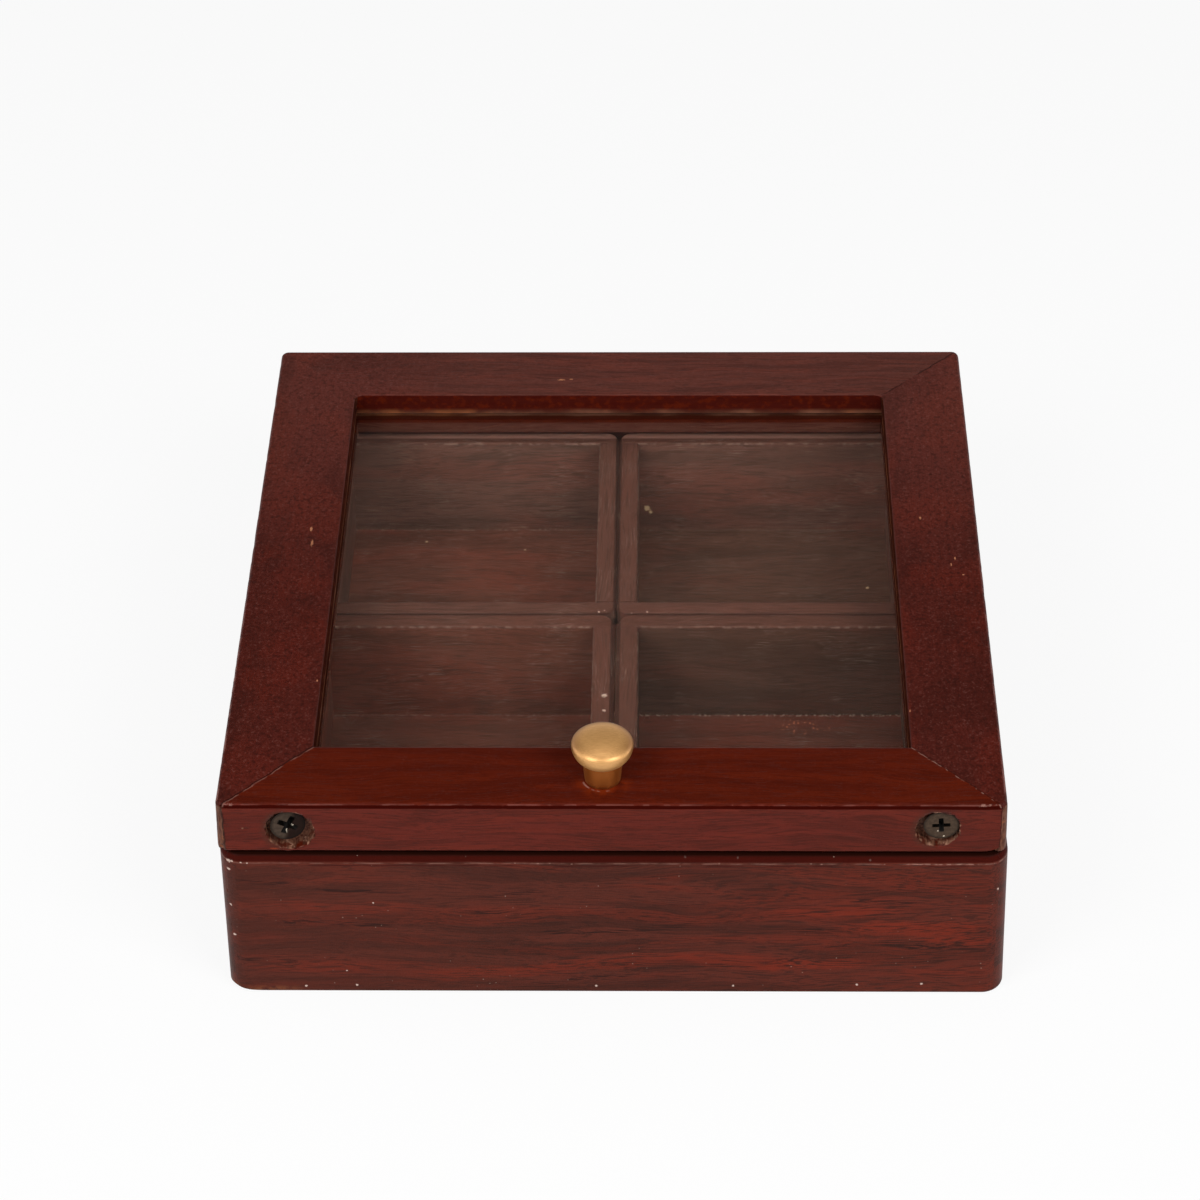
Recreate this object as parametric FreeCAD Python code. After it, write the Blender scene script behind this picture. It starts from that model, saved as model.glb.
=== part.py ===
import FreeCAD, Part
import math
import os

from FreeCAD import Placement, Rotation, Vector

# A square hardwood storage box: a base with a hinged, glazed lid and four loose trays.
# X runs to the right, Y to the back and Z up. Lengths are in millimetres, angles in degrees.
# The origin is the middle of the underside.

# Whole box
box_width = 152.0
box_depth = 152.0
base_height = 37.5
lid_gap = 0.3
lid_thickness = 12.4

# Base: four mitred walls round a floor that is let into their lower edge.
# The walls reach in from the lid's outline; outside they stand proud of it, and the sides spread to the foot
base_wall = 11.0
base_front_proud = 0.4
base_left_proud = 0.4
base_right_proud = 1.0
base_left_spread = 0.65
base_right_spread = 1.05
base_corner_round = 4.5
base_top_round = 2.3
base_bottom_round = 0.7
base_rim_round = 0.6
floor_thickness = 5.5
floor_rebate = 5.5
floor_clearance = 0.1

# Lid frame: two rails and two stiles, mitred; the stiles' ends show past the front rail
lid_rail = 17.0
lid_stile = 17.7
lid_corner_round = 1.6
lid_edge_round = 0.8
lid_opening_round = 0.5
stile_end_left = 1.3
stile_end_right = 0.9

# Glass pane and the groove that holds it
glass_thickness = 3.4
glass_lip = 5.0
glass_bite = 2.2
glass_edge_clearance = 0.3
glass_top_clearance = 0.2

# Trays: the gap between the two trays of a row is wider in the front row than in the back row
tray_wall = 4.0
tray_bottom_thickness = 4.0
tray_recess = 3.6
tray_side_clearance = 0.3
tray_end_clearance = 0.4
tray_front_row_gap = 1.5
tray_back_row_gap = 0.8
tray_row_gap = 0.4
tray_corner_round = 2.5
tray_edge_round = 0.5

# Knob: a tapered neck under a rounded head with a low dome
knob_off_centre = -1.6
knob_rail_share = 0.463
knob_foot_diameter = 6.2
knob_neck_diameter = 7.9
knob_neck_height = 5.6
knob_under_diameter = 9.4
knob_head_diameter = 12.0
knob_rim_height = 8.6
knob_dome_height = 2.1
knob_shoulder_radius = 1.0

# Knob screw, from below, its head sunk in a counterbore of the front rail
knob_screw_diameter = 3.0
knob_screw_head_diameter = 5.6
knob_screw_head_height = 2.0
knob_screw_head_round = 0.6
knob_screw_slot = 0.8
knob_screw_slot_depth = 0.9
knob_screw_sink = 4.5
knob_screw_grip = 5.0
knob_screw_end_gap = 0.6
knob_screw_hole_clearance = 0.2
knob_screw_head_clearance = 0.4
knob_thread_clearance = 0.05

# Corner screws through the front rail into the stile ends
corner_screw_head_diameter = 6.8
corner_screw_rim = 0.35
corner_screw_thread_diameter = 3.5
corner_screw_core_diameter = 2.6
corner_screw_length = 25.0
corner_screw_plain_length = 5.0
corner_screw_point_length = 3.2
corner_screw_pitch = 1.4
corner_screw_cross = 3.7
corner_screw_cross_slot = 0.95
corner_screw_cross_depth = 1.7

# Places of the corner screws in the lid, and the rough counterbores round their heads
left_screw_stile_share = 0.771
left_screw_height_share = 0.51
left_screw_sink = 0.8
left_screw_turn_angle = 12.0
left_screw_rise_angle = 5.0
left_screw_spin_angle = 35.0
left_bore_diameter = 9.2
left_bore_aside = 0.4
left_bore_drop = 0.7
right_screw_stile_share = 0.706
right_screw_height_share = 0.55
right_screw_sink = 0.45
right_screw_turn_angle = 0.0
right_screw_rise_angle = 0.0
right_screw_spin_angle = 4.0
right_bore_diameter = 8.4
right_bore_aside = -0.7
right_bore_drop = 0.7
corner_bore_depth = 2.3

# Hinges: a three-knuckle butt hinge at each side of the back
hinge_from_side = 31.0
hinge_length = 25.0
hinge_leaf_width = 9.6
hinge_leaf_thickness = 1.0
hinge_knuckle_diameter = 4.0
hinge_pin_diameter = 2.0
hinge_pin_end = 0.4
hinge_pin_clearance = 0.05
hinge_back_clearance = 0.2
hinge_swing_clearance = 0.2
hinge_knuckle_gap = 0.15
hinge_mortise_clearance = 0.1
hinge_screw_spacing = 15.0
hinge_screw_from_edge = 3.6

# Hinge screws
hinge_screw_head_diameter = 3.6
hinge_screw_rim = 0.1
hinge_screw_thread_diameter = 2.0
hinge_screw_core_diameter = 1.5
hinge_screw_length = 9.0
hinge_screw_plain_length = 2.4
hinge_screw_point_length = 1.8
hinge_screw_pitch = 0.9
hinge_screw_cross = 1.9
hinge_screw_cross_slot = 0.5
hinge_screw_cross_depth = 0.8

# Working values
screw_clearance = 0.05
overrun = 5.0
tolerance = 0.001
thread_crest_share = 0.5
arc_middle_share = 0.5

# Derived places
half_width = box_width / 2
half_depth = box_depth / 2
lid_bottom = base_height + lid_gap
lid_top = lid_bottom + lid_thickness
cavity_half_width = half_width - base_wall
cavity_half_depth = half_depth - base_wall
opening_half_width = half_width - lid_stile
opening_half_depth = half_depth - lid_rail
groove_top = lid_top - glass_lip
groove_bottom = groove_top - glass_top_clearance - glass_thickness
groove_depth = glass_bite + glass_edge_clearance
widest_row_gap = max(tray_front_row_gap, tray_back_row_gap)
tray_width = cavity_half_width - tray_side_clearance - widest_row_gap / 2
tray_depth = cavity_half_depth - tray_end_clearance - tray_row_gap / 2
tray_top = base_height - tray_recess
hinge_axis_y = half_depth + hinge_back_clearance + hinge_knuckle_diameter / 2
hinge_axis_z = base_height + lid_gap / 2
hinge_screw_y = hinge_axis_y - hinge_leaf_width + hinge_screw_from_edge
knob_y = -half_depth + lid_rail * knob_rail_share
up = Vector(0, 0, 1)
down = Vector(0, 0, -1)
right = Vector(1, 0, 0)
frontward = Vector(0, -1, 0)
backward = Vector(0, 1, 0)


def block(low, high):
    """Box between two opposite corners."""
    size = Vector(*high) - Vector(*low)
    return Part.makeBox(size.x, size.y, size.z, Vector(*low))


def prism(outline, low_z, high_z):
    """Upright prism on a flat outline of (x, y) corners."""
    corners = [Vector(x, y, low_z) for x, y in outline]
    face = Part.Face(Part.makePolygon(corners + corners[:1]))
    return face.extrude(up * (high_z - low_z))


def turned(outline):
    """Solid turned about Z from an outline of (radius, height) corners."""
    corners = [Vector(radius, 0, height) for radius, height in outline]
    face = Part.Face(Part.makePolygon(corners + corners[:1]))
    return face.revolve(Vector(0, 0, 0), up, 360)


def placed(shape, position, rotation):
    """Copy of a shape, turned and then moved from the origin to a position."""
    copy = shape.copy()
    copy.Placement = Placement(position, rotation)
    return copy


def is_upright(edge):
    box = edge.BoundBox
    return box.XLength < tolerance and box.YLength < tolerance


def lies_at(edge, height):
    box = edge.BoundBox
    return abs(box.ZMin - height) < tolerance and abs(box.ZMax - height) < tolerance


def lies_within(edge, reach_x, reach_y):
    box = edge.BoundBox
    inside_x = max(abs(box.XMin), abs(box.XMax)) < reach_x + tolerance
    return inside_x and max(abs(box.YMin), abs(box.YMax)) < reach_y + tolerance


def eased(shape, radius, wanted):
    """Round over the edges that wanted picks out."""
    return shape.makeFillet(radius, [edge for edge in shape.Edges if wanted(edge)])


def rounded_block(low, high, corner_round, bottom_round, top_round):
    """Box with round upright corners and rounded bottom and top edges."""
    solid = eased(block(low, high), corner_round, is_upright)
    solid = eased(solid, bottom_round, lambda edge: lies_at(edge, low[2]))
    return eased(solid, top_round, lambda edge: lies_at(edge, high[2]))


def mitre_line(tip, inner):
    """Ends of a mitre's line in plan, run on past the corner's tip and past its inner corner."""
    along = (tip - inner).normalize() * overrun
    outer_end = tip + along
    inner_end = inner - along
    return (outer_end.x, outer_end.y), (inner_end.x, inner_end.y)


def mitred_members(ring, side_width, end_width, front_shift_left, front_shift_right):
    """Cut a rectangular ring into its front, back, left and right members.

    The side width is the left and right members', and the end width the front and back members'.
    A front shift moves a front mitre's tip along the front face, away from the corner.
    """
    front_shift = {-1: front_shift_left, 1: front_shift_right}
    lines = {}
    for side in (-1, 1):
        for end in (-1, 1):
            shift = front_shift[side] if end < 0 else 0
            tip = Vector(side * (half_width - shift), end * half_depth, 0)
            inner = Vector(side * (half_width - side_width), end * (half_depth - end_width), 0)
            lines[side, end] = mitre_line(tip, inner)
    ends_of_members = {
        "front": ((-1, -1), (1, -1)),
        "back": ((-1, 1), (1, 1)),
        "left": ((-1, -1), (-1, 1)),
        "right": ((1, -1), (1, 1)),
    }
    low_z = ring.BoundBox.ZMin - overrun
    high_z = ring.BoundBox.ZMax + overrun
    members = {}
    for name, (first, second) in ends_of_members.items():
        outline = [lines[first][0], lines[second][0], lines[second][1], lines[first][1]]
        members[name] = ring.common(prism(outline, low_z, high_z)).Solids[0]
    return members


def screw_outline(head, rim, thread, core, length, plain, point, pitch):
    """Half outline of a countersunk wood screw with ridges for its thread, its head's top at zero."""
    head_radius = head / 2
    thread_radius = thread / 2
    core_radius = core / 2
    neck = -rim - (head_radius - core_radius)
    outline = [(0, 0), (head_radius, 0), (head_radius, -rim), (core_radius, neck)]
    ridge_count = math.floor((length - point - plain) / pitch)
    for ridge in range(ridge_count):
        root = min(neck, -plain) - ridge * pitch
        outline.append((core_radius, root))
        outline.append((thread_radius, root - pitch * thread_crest_share))
    outline.append((core_radius, -length + point))
    outline.append((0, -length))
    return outline


def cross_recess(cross, slot, depth):
    """Tapered cross that a driver fits, sunk from zero height down."""
    arm = block((-cross / 2, -slot / 2, -depth), (cross / 2, slot / 2, overrun))
    crossed_arm = placed(arm, Vector(0, 0, 0), Rotation(up, 90))
    taper = turned([(0, -depth), (slot / 2, -depth), (cross / 2, 0), (cross / 2, overrun), (0, overrun)])
    return arm.fuse(crossed_arm).common(taper)


def screw_hole(head, rim, thread, length):
    """What a countersunk screw needs cut out of the wood, open above its head."""
    head_radius = head / 2 + screw_clearance
    shank_radius = thread / 2 + screw_clearance
    seat = -rim - (head_radius - shank_radius)
    tip = -length - screw_clearance
    return turned([
        (0, overrun), (head_radius, overrun), (head_radius, -rim), (shank_radius, seat),
        (shank_radius, tip), (0, tip),
    ])


def make_corner_screw():
    outline = screw_outline(
        corner_screw_head_diameter, corner_screw_rim, corner_screw_thread_diameter,
        corner_screw_core_diameter, corner_screw_length, corner_screw_plain_length,
        corner_screw_point_length, corner_screw_pitch)
    recess = cross_recess(corner_screw_cross, corner_screw_cross_slot, corner_screw_cross_depth)
    return turned(outline).cut(recess)


def make_hinge_screw():
    outline = screw_outline(
        hinge_screw_head_diameter, hinge_screw_rim, hinge_screw_thread_diameter,
        hinge_screw_core_diameter, hinge_screw_length, hinge_screw_plain_length,
        hinge_screw_point_length, hinge_screw_pitch)
    recess = cross_recess(hinge_screw_cross, hinge_screw_cross_slot, hinge_screw_cross_depth)
    return turned(outline).cut(recess)


def make_base_block():
    """Outside of the base, before it is hollowed."""
    front_y = -half_depth - base_front_proud
    left_x = -half_width - base_left_proud
    right_x = half_width + base_right_proud
    outline = [
        (left_x - base_left_spread, 0), (right_x + base_right_spread, 0),
        (right_x, base_height), (left_x, base_height),
    ]
    corners = [Vector(x, front_y, z) for x, z in outline]
    face = Part.Face(Part.makePolygon(corners + corners[:1]))
    solid = face.extrude(backward * (half_depth - front_y))

    def on_corner(edge):
        return edge.BoundBox.ZLength > tolerance

    solid = eased(solid, base_corner_round, on_corner)
    solid = eased(solid, base_bottom_round, lambda edge: lies_at(edge, 0))
    return eased(solid, base_top_round, lambda edge: lies_at(edge, base_height))


def make_base_walls():
    ring = make_base_block()
    cavity = block(
        (-cavity_half_width, -cavity_half_depth, -overrun),
        (cavity_half_width, cavity_half_depth, base_height + overrun))
    rebate = block(
        (-cavity_half_width - floor_rebate, -cavity_half_depth - floor_rebate, -overrun),
        (cavity_half_width + floor_rebate, cavity_half_depth + floor_rebate, floor_thickness))
    walls = mitred_members(ring.cut(cavity).cut(rebate), base_wall, base_wall, 0, 0)

    def on_inner_rim(edge):
        return lies_at(edge, base_height) and lies_within(edge, cavity_half_width, cavity_half_depth)

    return {name: eased(wall, base_rim_round, on_inner_rim) for name, wall in walls.items()}


def make_base_floor():
    reach_x = cavity_half_width + floor_rebate - floor_clearance
    reach_y = cavity_half_depth + floor_rebate - floor_clearance
    return block((-reach_x, -reach_y, 0), (reach_x, reach_y, floor_thickness))


def make_lid_members():
    ring = rounded_block(
        (-half_width, -half_depth, lid_bottom), (half_width, half_depth, lid_top),
        lid_corner_round, lid_edge_round, lid_edge_round)
    opening = block(
        (-opening_half_width, -opening_half_depth, lid_bottom - overrun),
        (opening_half_width, opening_half_depth, lid_top + overrun))
    groove = block(
        (-opening_half_width - groove_depth, -opening_half_depth - groove_depth, groove_bottom),
        (opening_half_width + groove_depth, opening_half_depth + groove_depth, groove_top))
    frame = ring.cut(opening).cut(groove)
    members = mitred_members(frame, lid_stile, lid_rail, stile_end_left, stile_end_right)

    def on_opening(edge):
        at_face = lies_at(edge, lid_top) or lies_at(edge, lid_bottom)
        return at_face and lies_within(edge, opening_half_width, opening_half_depth)

    return {name: eased(part, lid_opening_round, on_opening) for name, part in members.items()}


def make_glass():
    reach_x = opening_half_width + glass_bite
    reach_y = opening_half_depth + glass_bite
    return block((-reach_x, -reach_y, groove_bottom), (reach_x, reach_y, groove_bottom + glass_thickness))


def arc_between(centre, radius, start_angle, end_angle):
    """Arc in the plane of X and Z, its angles in radians from X towards Z."""
    middle_angle = start_angle + (end_angle - start_angle) * arc_middle_share
    points = [
        centre + Vector(math.cos(angle), 0, math.sin(angle)) * radius
        for angle in (start_angle, middle_angle, end_angle)]
    return Part.Arc(*points).toShape()


def make_knob():
    """Knob standing on zero height, with a blind hole for its screw."""
    head = knob_head_diameter / 2
    under = knob_under_diameter / 2
    drop = knob_rim_height - knob_neck_height
    bead_reach = (head ** 2 - under ** 2 - drop ** 2) / (2 * (head - under))
    bead_radius = head - bead_reach
    bead_centre = Vector(bead_reach, 0, knob_rim_height)
    shoulder_reach = head - knob_shoulder_radius
    crown_rise = knob_dome_height - knob_shoulder_radius
    crown_span = shoulder_reach ** 2 + crown_rise * (knob_dome_height + knob_shoulder_radius)
    crown_radius = crown_span / (2 * crown_rise)
    crown = Vector(0, 0, knob_rim_height + knob_dome_height)
    crown_centre = crown + down * crown_radius
    shoulder_centre = Vector(shoulder_reach, 0, knob_rim_height)
    shoulder_angle = math.acos(shoulder_reach / (crown_radius - knob_shoulder_radius))
    foot_centre = Vector(0, 0, 0)
    foot_edge = Vector(knob_foot_diameter / 2, 0, 0)
    neck_edge = Vector(knob_neck_diameter / 2, 0, knob_neck_height)
    under_edge = Vector(under, 0, knob_neck_height)
    outline = Part.Wire(Part.sortEdges([
        Part.makeLine(foot_centre, foot_edge),
        Part.makeLine(foot_edge, neck_edge),
        Part.makeLine(neck_edge, under_edge),
        arc_between(bead_centre, bead_radius, -math.asin(drop / bead_radius), 0),
        arc_between(shoulder_centre, knob_shoulder_radius, 0, shoulder_angle),
        arc_between(crown_centre, crown_radius, shoulder_angle, math.pi / 2),
        Part.makeLine(crown, foot_centre),
    ])[0])
    solid = Part.Face(outline).revolve(Vector(0, 0, 0), up, 360)
    hole = Part.makeCylinder(
        knob_screw_diameter / 2 + knob_thread_clearance, overrun + knob_screw_grip + knob_screw_end_gap,
        down * overrun, up)
    return solid.cut(hole)


def make_knob_screw():
    """Slotted screw pointing up, the bearing face of its head at zero height."""
    head = Part.makeCylinder(
        knob_screw_head_diameter / 2, knob_screw_head_height, down * knob_screw_head_height, up)
    head = eased(head, knob_screw_head_round, lambda edge: lies_at(edge, -knob_screw_head_height))
    slot_floor = knob_screw_slot_depth - knob_screw_head_height
    slot = block(
        (-knob_screw_head_diameter, -knob_screw_slot / 2, -knob_screw_head_height - overrun),
        (knob_screw_head_diameter, knob_screw_slot / 2, slot_floor))
    length = lid_thickness - knob_screw_sink + knob_screw_grip
    return head.cut(slot).fuse(Part.makeCylinder(knob_screw_diameter / 2, length)).removeSplitter()


def make_knob_screw_hole():
    """Through hole and counterbore for the knob's screw, the bearing face at zero height."""
    shank_radius = knob_screw_diameter / 2 + knob_screw_hole_clearance
    shank = Part.makeCylinder(shank_radius, lid_thickness + overrun)
    head_radius = knob_screw_head_diameter / 2 + knob_screw_head_clearance
    sink = Part.makeCylinder(head_radius, knob_screw_sink + overrun, down * (knob_screw_sink + overrun), up)
    return shank.fuse(sink)


def corner_screw_place(side, stile_share, height_share, sink, turn, rise, spin):
    """Position and rotation of a corner screw whose head faces the front."""
    position = Vector(
        side * (half_width - lid_stile * stile_share),
        -half_depth + sink,
        lid_bottom + lid_thickness * height_share)
    tilt = Rotation(up, turn).multiply(Rotation(right, -rise))
    return position, tilt.multiply(Rotation(up, frontward)).multiply(Rotation(up, spin))


def corner_bore(position, diameter, aside, drop):
    """Rough counterbore off the axis of a corner screw."""
    start = Vector(position.x + aside, -half_depth - overrun, position.z - drop)
    return Part.makeCylinder(diameter / 2, corner_bore_depth + overrun, start, backward)


def hinge_barrel(span, diameter):
    """Cylinder on the hinge's axis over a span of X."""
    start, end = span
    return Part.makeCylinder(diameter / 2, end - start, Vector(start, hinge_axis_y, hinge_axis_z), right)


def make_leaf(centre_x, low_z, own_spans, other_spans):
    """Hinge leaf with its own knuckles, cut away round the other leaf's knuckles and the pin."""
    leaf = block(
        (centre_x - hinge_length / 2, hinge_axis_y - hinge_leaf_width, low_z),
        (centre_x + hinge_length / 2, hinge_axis_y, low_z + hinge_leaf_thickness))
    for span in other_spans:
        leaf = leaf.cut(hinge_barrel(span, hinge_knuckle_diameter + 2 * hinge_swing_clearance))
    for span in own_spans:
        leaf = leaf.fuse(hinge_barrel(span, hinge_knuckle_diameter))
    bore_span = (centre_x - hinge_length / 2 - overrun, centre_x + hinge_length / 2 + overrun)
    bore = hinge_barrel(bore_span, hinge_pin_diameter + 2 * hinge_pin_clearance)
    return leaf.cut(bore).removeSplitter()


def make_mortise(centre_x, low_z, high_z):
    """Recess that lets a leaf into the wood, open to the back."""
    reach = hinge_length / 2 + hinge_mortise_clearance
    inner_y = hinge_axis_y - hinge_leaf_width - hinge_mortise_clearance
    return block((centre_x - reach, inner_y, low_z), (centre_x + reach, half_depth + overrun, high_z))


def make_hinge(centre_x):
    """Pieces of one hinge, and what to cut out of the base and the lid for it."""
    knuckle = (hinge_length - 2 * hinge_knuckle_gap) / 3
    left_end = centre_x - hinge_length / 2
    right_end = centre_x + hinge_length / 2
    base_spans = [(left_end, left_end + knuckle), (right_end - knuckle, right_end)]
    lid_span = (left_end + knuckle + hinge_knuckle_gap, right_end - knuckle - hinge_knuckle_gap)
    between_base_knuckles = (left_end + knuckle, right_end - knuckle)
    beside_lid_knuckle = [(left_end - overrun, lid_span[0]), (lid_span[1], right_end + overrun)]
    base_leaf = make_leaf(
        centre_x, base_height - hinge_leaf_thickness, base_spans, [between_base_knuckles])
    lid_leaf = make_leaf(centre_x, lid_bottom, [lid_span], beside_lid_knuckle)
    pin = hinge_barrel((left_end - hinge_pin_end, right_end + hinge_pin_end), hinge_pin_diameter)
    pin_rims = [edge for edge in pin.Edges if edge.BoundBox.XLength < tolerance]
    pin = pin.makeChamfer(hinge_pin_end / 2, pin_rims)

    screw = make_hinge_screw()
    hole = screw_hole(
        hinge_screw_head_diameter, hinge_screw_rim, hinge_screw_thread_diameter, hinge_screw_length)
    no_turn = Rotation(up, up)
    half_turn = Rotation(right, 180)
    base_screws = []
    lid_screws = []
    base_cuts = [make_mortise(centre_x, base_height - hinge_leaf_thickness, base_height + overrun)]
    lid_cuts = [make_mortise(centre_x, lid_bottom - overrun, lid_bottom + hinge_leaf_thickness)]
    for side in (-1, 1):
        screw_x = centre_x + side * hinge_screw_spacing / 2
        base_place = (Vector(screw_x, hinge_screw_y, base_height), no_turn)
        lid_place = (Vector(screw_x, hinge_screw_y, lid_bottom), half_turn)
        base_screws.append(placed(screw, *base_place))
        lid_screws.append(placed(screw, *lid_place))
        base_cuts.append(placed(hole, *base_place))
        lid_cuts.append(placed(hole, *lid_place))
    for cut in base_cuts[1:]:
        base_leaf = base_leaf.cut(cut)
    for cut in lid_cuts[1:]:
        lid_leaf = lid_leaf.cut(cut)
    pieces = {
        "base_leaf": base_leaf,
        "lid_leaf": lid_leaf,
        "pin": pin,
        "base_screws": Part.makeCompound(base_screws),
        "lid_screws": Part.makeCompound(lid_screws),
    }
    return pieces, base_cuts, lid_cuts


def make_tray(centre_x, centre_y):
    """Boards of one tray: front and back run full width, with the side walls and bottom between them."""
    left_x = centre_x - tray_width / 2
    right_x = centre_x + tray_width / 2
    front_y = centre_y - tray_depth / 2
    back_y = centre_y + tray_depth / 2
    low_z = floor_thickness
    inner_left = left_x + tray_wall
    inner_right = right_x - tray_wall
    inner_front = front_y + tray_wall
    inner_back = back_y - tray_wall

    def end_wall(start_y, end_y, outer_y):
        board = block((left_x, start_y, low_z), (right_x, end_y, tray_top))
        board = eased(board, tray_corner_round, lambda edge: (
            is_upright(edge) and abs(edge.BoundBox.YMin - outer_y) < tolerance))
        return eased(board, tray_edge_round, lambda edge: lies_at(edge, tray_top))

    def side_wall(start_x, end_x):
        board = block((start_x, inner_front, low_z), (end_x, inner_back, tray_top))
        return eased(board, tray_edge_round, lambda edge: (
            lies_at(edge, tray_top) and edge.BoundBox.XLength < tolerance))

    return {
        "front": end_wall(front_y, inner_front, front_y),
        "back": end_wall(inner_back, back_y, back_y),
        "left": side_wall(left_x, inner_left),
        "right": side_wall(inner_right, right_x),
        "bottom": block(
            (inner_left, inner_front, low_z), (inner_right, inner_back, low_z + tray_bottom_thickness)),
    }


def make_trays():
    trays = {}
    for row, end, row_gap in (("front", -1, tray_front_row_gap), ("back", 1, tray_back_row_gap)):
        for name, side in (("left", -1), ("right", 1)):
            centre_x = side * (row_gap + tray_width) / 2
            centre_y = end * (tray_row_gap + tray_depth) / 2
            for board, solid in make_tray(centre_x, centre_y).items():
                trays[f"{row}_{name}_tray_{board}"] = solid
    return trays


def make_box():
    """Every piece of the box, by name."""
    walls = make_base_walls()
    members = make_lid_members()
    nodes = {"base_floor": make_base_floor(), "lid_glass": make_glass()}

    hinge_x = half_width - hinge_from_side
    for name, centre_x in (("left", -hinge_x), ("right", hinge_x)):
        pieces, base_cuts, lid_cuts = make_hinge(centre_x)
        for cut in base_cuts:
            walls["back"] = walls["back"].cut(cut)
        for cut in lid_cuts:
            members["back"] = members["back"].cut(cut)
        for piece, solid in pieces.items():
            nodes[f"{name}_hinge_{piece}"] = solid

    bearing = Vector(knob_off_centre, knob_y, lid_bottom + knob_screw_sink)
    no_turn = Rotation(up, up)
    members["front"] = members["front"].cut(placed(make_knob_screw_hole(), bearing, no_turn))
    nodes["knob"] = placed(make_knob(), Vector(knob_off_centre, knob_y, lid_top), no_turn)
    nodes["knob_screw"] = placed(make_knob_screw(), bearing, no_turn)

    screw = make_corner_screw()
    hole = screw_hole(
        corner_screw_head_diameter, corner_screw_rim, corner_screw_thread_diameter, corner_screw_length)
    left_place = corner_screw_place(
        -1, left_screw_stile_share, left_screw_height_share, left_screw_sink,
        left_screw_turn_angle, left_screw_rise_angle, left_screw_spin_angle)
    right_place = corner_screw_place(
        1, right_screw_stile_share, right_screw_height_share, right_screw_sink,
        right_screw_turn_angle, right_screw_rise_angle, right_screw_spin_angle)
    left_bore = corner_bore(left_place[0], left_bore_diameter, left_bore_aside, left_bore_drop)
    right_bore = corner_bore(right_place[0], right_bore_diameter, right_bore_aside, right_bore_drop)
    for name, place, bore in (("left", left_place, left_bore), ("right", right_place, right_bore)):
        nodes[f"lid_{name}_corner_screw"] = placed(screw, *place)
        cut = placed(hole, *place).fuse(bore)
        for member in ("front", name):
            members[member] = members[member].cut(cut)

    for name, wall in walls.items():
        nodes[f"base_{name}_wall"] = wall
    nodes["lid_front_rail"] = members["front"]
    nodes["lid_back_rail"] = members["back"]
    nodes["lid_left_stile"] = members["left"]
    nodes["lid_right_stile"] = members["right"]
    nodes.update(make_trays())
    return nodes


os.makedirs("parts", exist_ok=True)
for node, shape in make_box().items():
    shape.exportStep(f"parts/{node}.step")
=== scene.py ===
import math
from typing import NamedTuple

import bmesh
import bpy
from mathutils import Euler, Matrix, Vector, noise


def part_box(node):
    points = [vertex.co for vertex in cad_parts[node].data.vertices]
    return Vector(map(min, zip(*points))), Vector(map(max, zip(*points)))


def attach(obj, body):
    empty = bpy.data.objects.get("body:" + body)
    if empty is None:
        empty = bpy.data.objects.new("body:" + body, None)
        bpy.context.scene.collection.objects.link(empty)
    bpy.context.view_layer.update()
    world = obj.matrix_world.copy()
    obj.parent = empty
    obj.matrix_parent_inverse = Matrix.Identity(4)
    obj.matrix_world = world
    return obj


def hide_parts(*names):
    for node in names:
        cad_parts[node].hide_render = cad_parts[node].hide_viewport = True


# A glazed wooden storage box with four loose trays, dressed round its fixed frame.
# Lengths are in millimetres, and mm turns them into the scene's metres. Angles are in degrees.
mm = 0.001

# Camera: the place and the lens that the photograph was taken with
camera_place = (11.2, -577.6, 504.1)
camera_pitch = 38.81
camera_yaw = -1.44
camera_roll = 0.875
camera_level = 90.0
focal_pixels = 3529.7
image_pixels = 1200
sensor_width = 36.0

# Studio: two softboxes in front, one at each side and one above, in a dark room with a pale horizon and a
# white floor
softbox_azimuth = 40.0
softbox_elevation = 44.0
side_softbox_azimuth = 100.0
side_softbox_elevation = 18.0
top_softbox_elevation = 90.0
softbox_distance = 900.0
softbox_size = 420.0
softbox_power = 4.9
side_softbox_power = 1.3
top_softbox_power = 1.0
room_level = 0.03
horizon_level = 1.0
horizon_top = 0.2
horizon_fade = 0.48
floor_radius = 4000.0
floor_corners = 64
floor_shade = 0.8
floor_level = 0.985
floor_glow_share = 0.9
white = (1, 1, 1, 1)

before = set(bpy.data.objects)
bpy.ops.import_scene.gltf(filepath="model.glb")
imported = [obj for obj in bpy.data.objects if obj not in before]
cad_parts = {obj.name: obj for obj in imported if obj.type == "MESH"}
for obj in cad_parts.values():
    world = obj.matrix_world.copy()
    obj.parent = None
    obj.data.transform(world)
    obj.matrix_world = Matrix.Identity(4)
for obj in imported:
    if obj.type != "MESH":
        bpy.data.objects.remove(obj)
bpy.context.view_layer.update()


def span(*names):
    """Lowest and highest corners of several nodes together, in millimetres."""
    boxes = [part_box(name) for name in names]
    low = [min(box[0][axis] for box in boxes) / mm for axis in range(3)]
    high = [max(box[1][axis] for box in boxes) / mm for axis in range(3)]
    return Vector(low), Vector(high)


# Places that the finishes follow, read from the frame
lid_low, lid_high = span("lid_front_rail", "lid_back_rail", "lid_left_stile", "lid_right_stile")
base_low, base_high = span("base_front_wall", "base_back_wall", "base_left_wall", "base_right_wall")
glass_low, glass_high = span("lid_glass")
knob_low, knob_high = span("knob")
knob_middle = (knob_low + knob_high) / 2
knob_radius = (knob_high.x - knob_low.x) / 2
knob_neck_height = 5.6
knob_rim_height = 8.6
rail_low, rail_high = span("lid_front_rail")
opening_low = Vector((span("lid_left_stile")[1].x, rail_high.y, lid_low.z))
opening_high = Vector((span("lid_right_stile")[0].x, span("lid_back_rail")[0].y, lid_high.z))
bore_depth = 2.3
bore_floor_reach = 0.05
front_normal_y = -0.9


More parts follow.
